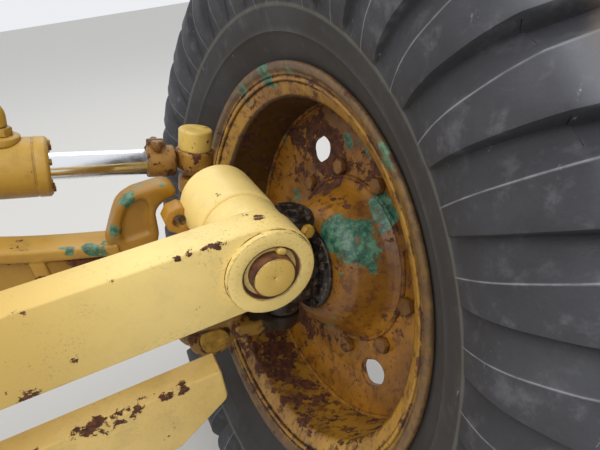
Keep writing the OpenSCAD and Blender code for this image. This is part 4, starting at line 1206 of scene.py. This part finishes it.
class AXLE_OT_bar_fittings(bpy.types.Operator):
    """Outriggers of the lean bar with their base pins, and the lean cylinder's lug"""
    bl_idname = "axle.bar_fittings"
    bl_label = "Bar fittings"

    def execute(self, context):
        z = sizes()
        inner, outer = ANCHOR_X - 0.098, ANCHOR_X - 0.042
        back = BALL[1] + BASE_HALF + 0.0003
        bar_rear = z.bar_front + z.bar_t
        arm = [block((inner, z.bar_front + 0.002, z.bar_up - 0.001),
                     (outer, bar_rear - 0.002, CROSS_Z + 0.004), 0.003),
               block((inner, z.bar_front + 0.002, CROSS_Z), (outer, back + 0.016, CROSS_Z + 0.024), 0.003)]
        outline = [(inner, ANCHOR_Z - 0.020, 0.004), (ANCHOR_X + 0.008, ANCHOR_Z - 0.036, 0.010),
                   (ANCHOR_X + 0.034, ANCHOR_Z - 0.010, 0.012), (ANCHOR_X + 0.034, ANCHOR_Z + 0.016, 0.012),
                   (ANCHOR_X + 0.014, CROSS_Z + 0.036, 0.010), (inner, CROSS_Z + 0.036, 0.004)]
        arm += [slab(rounded(outline), back, back + 0.016, 0.002),
                turned(drum(0.024, back + 0.015, back + 0.024), 56, 0.0015, ANCHOR_X, ANCHOR_Z)]
        foot, ledge = z.bar_up + 0.001, CROSS_Z - 0.001
        for x in (inner - 0.001, outer + 0.001):
            arm += [weld([(x, z.bar_front + 0.006, foot), (x, bar_rear - 0.006, foot)], 0.0045),
                    weld([(x, bar_rear - 0.001, z.bar_up + 0.01), (x, bar_rear - 0.001, ledge)], 0.0022)]
        for y, radius in ((bar_rear - 0.001, 0.0045), (back - 0.001, 0.004)):
            arm.append(weld([(inner + 0.003, y, ledge), (outer - 0.003, y, ledge)], radius))
        forms = [scaled(form, s) for s in (LEFT, RIGHT) for form in arm]
        piece("bar_outriggers_pair", forms, at_bar(), "bar", "cream", ["bar_outriggers"])
        forms = []
        for e in (-1, 1):
            near = LEAN_PIN[1] + e * (EYE_HALF + 0.0003)
            far = near + e * 0.012
            outline = [(-0.060, -z.bar_down + 0.001, 0.0), (-0.026, -LUG_DROP, 0.020),
                       (0.026, -LUG_DROP, 0.020), (0.060, -z.bar_down + 0.001, 0.0)]
            forms.append(slab(rounded(outline), *sorted((near, far)), 0.0015))
            forms.append(weld([(x, far, -z.bar_down - 0.001) for x in (-0.058, 0.058)], 0.0035))
            head = drum(0.020, *sorted((far, far + e * 0.008)))
            forms.append(turned(head, 48, 0.0015, 0, LUG_RISE - LUG_DROP))
        piece("lean_lug_cheeks", forms, at_bar(), "bar", "cream", ["lean_lug"])
        return {"FINISHED"}


class AXLE_OT_knuckles(bpy.types.Operator):
    """Knuckles with their spindles, bolted seal housings and bent steering arms"""
    bl_idname = "axle.knuckles"
    bl_label = "Knuckles"

    def execute(self, context):
        z = sizes()
        k, w = z.kingpin_x, z.wheel_z
        for s in (LEFT, RIGHT):
            side, body, mirror = SIDES[s], "knuckle_" + BODY[s], s == RIGHT
            place = at_kingpin(s) @ at(-s * k, 0, 0)
            spindle = moved(lathe([(0.0, k), (0.056, k), (0.056, 0.1495), (0.0346, 0.1495), (0.0346, 0.330),
                                   (0.0, 0.330)], 96, 0.002), at(0, 0, w))
            forms = [about_z(drum(0.0358, 0.0545, 0.1955), 80, 0.002, k), spindle]
            bore = about_z(drum(0.0195, 0.0, 0.3), 56, 0, k)
            piece(f"knuckle_{side}_forging", forms, place, body, "knuckle",
                  ["knuckle_" + side], mirror, voxel=KNUCKLE_VOXEL, bores=[bore], smooth=50)
            ring = [(0.0360, 0.1500), (0.058, 0.1500), (0.062, 0.1502), (0.0725, 0.156), (0.074, 0.158),
                    (0.074, 0.1618), (0.0360, 0.1618)]
            forms = [moved(lathe(ring, 128, 0.0012), at(0, 0, w))]
            for i in range(5):
                turn = at(0, 0, w) @ spin(3 + 72 * i, "X")
                forms.append(moved(scaled(hexagon(0.0155, 0.007), 1, -1),
                                   turn @ at(0.1525, 0.0648, 0) @ ON_X))
            piece(f"seal_{side}_housing", forms, place, body, "grease", ["seal_" + side],
                  mirror)
            lug_top, tie_top = BALL[2] - 0.032, -0.034
            upper = [(k + 0.006, 0.038, 0.160), (k + 0.006, 0.078, 0.168), (k + 0.004, 0.118, 0.178),
                     (k - 0.020, 0.150, 0.194), (0.066, 0.176, lug_top - 0.016),
                     (BALL[0], BALL[1], lug_top - 0.014)]
            lower = [(k + 0.012, 0.044, 0.092), (k + 0.012, 0.080, 0.030), (k + 0.012, 0.116, -0.032),
                     (k, TIE_Y, tie_top - 0.016)]
            forms = [pipe(upper, [0.020, 0.019, 0.018, 0.018, 0.018, 0.014], 24),
                     pipe(lower, [0.017, 0.0165, 0.0165, 0.012], 24),
                     about_z(drum(0.027, lug_top - 0.028, lug_top), 64, 0.002, *BALL[:2]),
                     about_z(drum(0.010, lug_top - 0.010, BALL[2] - 0.012), 48, 0, *BALL[:2]),
                     about_z(drum(0.024, tie_top - 0.028, tie_top), 64, 0.002, k, TIE_Y),
                     about_z(drum(0.009, tie_top - 0.010, -0.008), 48, 0, k, TIE_Y)]
            if s == RIGHT:
                forms.append(about_z(sphere(TIE_BALL_R, step=10), 48, 0, k, TIE_Y))
            bores = [about_z(sphere(BALL_SEAT_R, BALL[2]), 48, 0, *BALL[:2]),
                     about_z(drum(0.0366, 0.0, 0.3), 56, 0, k),
                     moved(lathe(drum(0.0566, 0.0, 0.153), 64, 0), at(0, 0, w))]
            if s == LEFT:
                bores.append(about_z(sphere(TIE_SEAT_R), 48, 0, k, TIE_Y))
            piece(f"steer_arm_{side}_forging", forms, place, body, "arm",
                  ["steer_arm_" + side], mirror, voxel=ARM_VOXEL, soften=4, bores=bores, smooth=50)
            nuts = [about_z(drum(0.011, lug_top - 0.042, lug_top - 0.028), 40, 0.001, *BALL[:2]),
                    moved(hexagon(0.040, 0.013), at(BALL[0], BALL[1], lug_top - 0.0275) @ spin(-90, "X")),
                    moved(hexagon(0.034, 0.012), at(k, TIE_Y, tie_top - 0.0275) @ spin(-90, "X"))]
            piece(f"steer_arm_{side}_nuts", nuts, place, body, "rust", (), mirror)
        return {"FINISHED"}


class AXLE_OT_steering(bpy.types.Operator):
    """Steering cylinders with ports, chromed rods and rod ends, and the tie rod"""
    bl_idname = "axle.steering"
    bl_label = "Steering"

    def execute(self, context):
        z = sizes()
        for s in (LEFT, RIGHT):
            side, tag = SIDES[s], BODY[s]
            ball, anchor = ball_at(s), anchor_at(s)
            place, span = aimed(anchor, ball), (ball - anchor).length
            level = place.inverted() @ Matrix.Translation(anchor)
            r, b0, b1 = BARREL_R, BARREL_START, BARREL_END
            barrel = [(0.0, b0), (0.032, b0), (0.044, b0 + 0.004), (r - 0.0005, b0 + 0.010),
                      (r - 0.0005, b1 - 0.022), (r - 0.0012, b1 - 0.021), (r - 0.0012, b1 - 0.0195),
                      (r, b1 - 0.0185), (r, b1 - 0.004), (r - 0.004, b1), (0.034, b1), (0.032, b1 - 0.003),
                      (0.0225, b1 - 0.003), (0.0225, b1 - 0.020), (r - 0.008, b1 - 0.020),
                      (r - 0.008, b0 + 0.014), (0.0, b0 + 0.014)]
            forms = [lathe(barrel, 96, 0.0012), block((0.010, -0.014, -0.016), (0.060, 0.014, 0.016),
                                                      0.003)]
            forms.append(moved(turned(drum(0.028, -BASE_HALF, BASE_HALF), 64, 0.0015), level))
            forms.append(moved(turned(drum(0.014, -BASE_HALF - 0.008, 0.0), 40, 0.0015), level))
            seam = [(b0 + 0.0105, (r - 0.001) * math.cos(a), (r - 0.001) * math.sin(a))
                    for a in (2 * math.pi * i / 60 for i in range(61))]
            forms.append(weld(seam, 0.0028))
            for i in range(6):
                spot = at(b1 - 0.0005, *polar(0.0385, 30 + 60 * i))
                forms.append(moved(hexagon(0.010, 0.004), spot @ ON_X))
            piece(f"steer_barrel_{side}_tube", forms, place, "barrel_" + tag, "lemon",
                  ["steer_barrel_" + side])
            x = b1 - 0.060
            low = r - 0.0005
            bend = [(x - 0.015 * (1 - math.cos(a)), 0, low + 0.034 + 0.015 * math.sin(a))
                    for a in (math.radians(k) for k in range(0, 91, 15))]
            elbow = [(x, 0, low + 0.020)] + bend + [(x - 0.040, 0, low + 0.049)]
            flange = [(0.0, low - 0.006), (0.026, low - 0.006), (0.026, low + 0.004), (0.023, low + 0.006),
                      (0.0, low + 0.006)]
            forms = [about_z(flange, 56, 0.001, x),
                     moved(hexagon(0.033, 0.012), at(x, 0, low + 0.006) @ spin(90, "X")),
                     pipe(elbow, 0.0115, 28),
                     moved(hexagon(0.030, 0.012), at(x - 0.034, 0, low + 0.049) @ spin(90, "Z"))]
            under = lathe(drum(r - 0.0008, x - 0.04, x + 0.04), 96, 0)
            piece(f"steer_port_{side}_elbow", forms, place, "barrel_" + tag, "lemon",
                  ["steer_port_" + side], cuts=[under])
            start = span - ROD_GRIP - ROD_LENGTH
            rod = [(0.0, start), (r - 0.0085, start), (r - 0.0085, start + 0.014),
                   (ROD_R - 0.0002, start + 0.0145), (ROD_R - 0.0002, span - ROD_GRIP),
                   (0.0, span - ROD_GRIP)]
            piece(f"steer_rod_{side}_shaft", [lathe(rod, 96, 0.001)], place, "rod_" + tag,
                  "chrome", ["steer_rod_" + side])
            upright = Matrix.Translation(ball)
            reach = upright.inverted() @ place
            tipped = Matrix.Rotation(z.lean, 4, "Y")
            foot = [(0.0, -0.021), (0.027, -0.021), (0.033, -0.007), (0.033, 0.0), (0.0, 0.0)]
            ring = [(0.0, -0.012), (0.033, -0.012), (0.033, 0.0185), (0.031, 0.0195), (0.0, 0.0195)]
            clamp = [lathe(drum(0.027, span - 0.083, span - 0.036), 72, 0.0015),
                     block((span - 0.081, -0.010, 0.016), (span - 0.053, 0.010, 0.038), 0.002)]
            forms = [about_z(foot, 96, 0.002), moved(about_z(ring, 96, 0.001), tipped)]
            forms += [moved(form, reach) for form in clamp]
            cavity = [(0.0, -0.030), (0.024, -0.030), (0.023, -0.0215), (0.0182, -0.0098)]
            split = [lathe(drum(ROD_R, span - 0.14, span - ROD_GRIP), 64, 0),
                     block((span - 0.09, -0.0012, 0.015), (span - 0.05, 0.0012, 0.05), 0.0001)]
            bores = [about_z(cavity + sphere(0.0206, first=73), 56, 0)]
            bores += [moved(form, reach) for form in split]
            piece(f"rod_end_{side}_housing", forms, upright, "rod_" + tag, "rod_end",
                  ["rod_end_" + side], voxel=ROD_END_VOXEL, soften=2, bores=bores, smooth=50)
            pinch = moved(turned(drum(0.0065, -0.022, 0.022), 24, 0.0005, span - 0.067, 0.030), reach)
            heads = [moved(hexagon(0.017, 0.007), reach @ at(span - 0.067, y, 0.030))
                     for y in (0.010, -0.017)]
            cap = moved(about_z([(0.0, 0.0195), (0.0285, 0.0195), (0.0285, 0.0215), (0.0288, 0.0535),
                                 (0.0268, 0.0555), (0.0, 0.0558)], 80, 0.0012), tipped)
            piece(f"rod_end_{side}_bolt", [pinch] + heads, upright, "rod_" + tag, "bolts")
            piece(f"rod_end_{side}_cap", [cap], upright, "rod_" + tag, "cap")
        a, b = tie_at(LEFT), tie_at(RIGHT)
        place, span = aimed(a, b), (b - a).length
        up = place.inverted()
        tube = [(0.0, 0.015), (0.0190, 0.015), (0.0190, 0.150), (0.0205, 0.152), (0.0205, span - 0.152),
                (0.0190, span - 0.150), (0.0190, span - 0.018), (0.0, span - 0.018)]
        forms = [lathe(tube, 48, 0.001)]
        for x in (0.160, span - 0.185):
            forms += [lathe(band(0.0195, 0.0265, x, x + 0.024), 48, 0.001),
                      block((x + 0.001, -0.010, 0.022), (x + 0.023, 0.010, 0.044), 0.002)]
            forms += [moved(hexagon(0.016, 0.007), at(x + 0.012, y, 0.034)) for y in (0.0098, -0.0168)]
        heads = [[(0.0, -0.015), (0.024, -0.015), (0.027, -0.011), (0.027, 0.019), (0.022, 0.023),
                  (0.0, 0.023)], [(0.0, -0.014), (0.027, -0.014), (0.030, -0.010), (0.030, 0.024),
                                  (0.025, 0.028), (0.0, 0.028)]]
        sockets = [[(0.0, -0.030), (0.0185, -0.030), (0.0175, 0.0)],
                   [(0.0, -0.030), (0.0232, -0.030), (0.0232, -0.006), (0.0212, 0.0)]]
        bores = []
        for head, socket, spot in zip(heads, sockets, (a, b)):
            r = socket[-1][0]
            dome = [polar(r, t) for t in range(12, 91, 13)] + [(0.0, r)]
            forms.append(moved(about_z(head, 64, 0.001), up @ Matrix.Translation(spot)))
            bores.append(moved(about_z(socket + dome, 48, 0), up @ Matrix.Translation(spot)))
        piece("tie_rod_tube", forms, place, "tie", "rust", ["tie_rod"], cuts=bores)
        return {"FINISHED"}


class AXLE_OT_lean_cylinder(bpy.types.Operator):
    """The lean cylinder between the front plate and the lean bar"""
    bl_idname = "axle.lean_cylinder"
    bl_label = "Lean cylinder"

    def execute(self, context):
        start = Vector(LEAN_PIN)
        end = at_bar() @ Vector((0, LEAN_PIN[1], LUG_RISE - LUG_DROP))
        place, span = aimed(start, end), (end - start).length
        tube = [(0.0, 0.044), (0.022, 0.044), (0.032, 0.048), (0.0345, 0.054), (0.0345, 0.366),
                (0.033, 0.368), (0.033, 0.372), (0.035, 0.374), (0.035, 0.396), (0.032, 0.400),
                (0.0155, 0.400), (0.0155, 0.370), (0.0305, 0.370), (0.0305, 0.060), (0.0, 0.060)]
        forms = [lathe(tube, 80, 0.001), block((0.010, -0.013, -0.013), (0.050, 0.013, 0.013), 0.003),
                 turned(band(0.0163, 0.028, -0.019, 0.019), 64, 0.0015)]
        for x in (0.085, 0.345):
            forms.append(turned(drum(0.014, 0.030, 0.040), 40, 0.001, x))
            forms.append(moved(hexagon(0.024, 0.010), at(x, 0.039, 0)))
        piece("lean_barrel_tube", forms, place, "lean_cylinder", "lemon", ["lean_barrel"])
        rod = [(0.0, 0.215), (0.0295, 0.215), (0.0295, 0.235), (0.0148, 0.2355), (0.0148, span - 0.018),
               (0.0, span - 0.018)]
        forms = [lathe(rod, 64, 0.001), turned(drum(0.026, -EYE_HALF, EYE_HALF), 64, 0.0015, span)]
        piece("lean_rod_shaft", forms, place, "lean_piston", "chrome", ["lean_rod"])
        return {"FINISHED"}


class AXLE_OT_carried(bpy.types.Operator):
    """Finishes for the CAD solids whose shapes are right as they are"""
    bl_idname = "axle.carried"
    bl_label = "Carried solids"

    def execute(self, context):
        for name in BARE_SOLIDS:
            finished(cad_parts[name], "machined", 40)
        return {"FINISHED"}


# Softboxes. Columns: name, place and width in metres, power in watts, the point it faces
SOFTBOXES = [("key", (-0.6, -1.6, 3.2), 3.2, 84, (0.5, 0, 0)),
             ("back", (1.8, 2.6, 2.4), 2.4, 30, (0.4, 0, 0)),
             ("side", (-2.8, 0.6, 1.8), 2.0, 12, (0.3, 0, 0))]
FLOOR_HALF, FLOOR_GAP = 9, 0.002
# Camera of the photo in the part's frame: place, direction, its right hand, film and lens in mm
CAMERA_PLACE = (0.729, -0.590, 0.309)
CAMERA_AHEAD, CAMERA_RIGHT = (0.327, 0.771, -0.546), (0.892, -0.443, -0.089)
FILM_WIDTH, CAMERA_LENS = 36.0, 28.1


class AXLE_OT_stage(bpy.types.Operator):
    """Pale floor, soft studio light and the camera at the photograph's angle"""
    bl_idname = "axle.stage"
    bl_label = "Stage"

    def execute(self, context):
        scene = context.scene
        low, far = CAD_BOX[0][2] - FLOOR_GAP, FLOOR_HALF
        mesh = bpy.data.meshes.new("floor")
        mesh.from_pydata([(-far, -far, low), (far, -far, low), (far, far, low), (-far, far, low)], [],
                         [(0, 1, 2, 3)])
        floor = bpy.data.objects.new("floor", mesh)
        scene.collection.objects.link(floor)
        made, _, shader, _ = start("studio_floor")
        shader.inputs["Base Color"].default_value = shade("floor")
        shader.inputs["Roughness"].default_value = 0.9
        mesh.materials.append(made)
        for name, spot, across, power, aim in SOFTBOXES:
            light = bpy.data.lights.new(name, "AREA")
            light.shape, light.size, light.energy = "DISK", across, power
            lamp = bpy.data.objects.new(name, light)
            scene.collection.objects.link(lamp)
            lamp.location = spot
            lamp.rotation_euler = (Vector(aim) - Vector(spot)).to_track_quat("-Z", "Y").to_euler()
        world = bpy.data.worlds.new("studio")
        scene.world = world
        world.use_nodes = True
        sky = world.node_tree.nodes["Background"].inputs
        sky["Color"].default_value = linear("#F2F4F8")
        sky["Strength"].default_value = 0.95
        camera = bpy.data.objects.new("camera", bpy.data.cameras.new("camera"))
        scene.collection.objects.link(camera)
        ahead, right = Vector(CAMERA_AHEAD).normalized(), Vector(CAMERA_RIGHT)
        right = (right - ahead * right.dot(ahead)).normalized()
        turn = Matrix((right, right.cross(ahead), -ahead)).transposed().to_4x4()
        camera.matrix_world = at(*CAMERA_PLACE) @ turn
        camera.data.sensor_width, camera.data.lens = FILM_WIDTH, CAMERA_LENS
        camera.data.clip_start = 0.02
        scene.camera = camera
        scene.view_settings.view_transform = "Standard"
        return {"FINISHED"}


OPERATORS = [AXLE_OT_stage, AXLE_OT_carried, AXLE_OT_tyres, AXLE_OT_wheels, AXLE_OT_lean_bar, AXLE_OT_yokes,
             AXLE_OT_beam, AXLE_OT_front_plate, AXLE_OT_bar_fittings, AXLE_OT_knuckles, AXLE_OT_steering,
             AXLE_OT_lean_cylinder]


class AXLE_PT_panel(bpy.types.Panel):
    """Sizes, colours and pieces of the axle"""
    bl_idname = "AXLE_PT_panel"
    bl_label = "Front axle"
    bl_space_type = "VIEW_3D"
    bl_region_type = "UI"
    bl_category = "Axle"

    def draw(self, context):
        layout = self.layout
        for group in (context.scene.axle_sizes, context.scene.axle_colours):
            for name in group.__annotations__:
                layout.prop(group, name)
        for made in OPERATORS:
            layout.operator(made.bl_idname)


CLASSES = [AxleSizes, AxleColours, *OPERATORS, AXLE_PT_panel]


def register():
    for made in CLASSES:
        bpy.utils.register_class(made)
    bpy.types.Scene.axle_sizes = PointerProperty(type=AxleSizes)
    bpy.types.Scene.axle_colours = PointerProperty(type=AxleColours)


def unregister():
    del bpy.types.Scene.axle_colours
    del bpy.types.Scene.axle_sizes
    for made in reversed(CLASSES):
        bpy.utils.unregister_class(made)


def main():
    register()
    make_finishes()
    for made in OPERATORS:
        family, name = made.bl_idname.split(".")
        getattr(getattr(bpy.ops, family), name)()


if __name__ == "__main__":
    main()
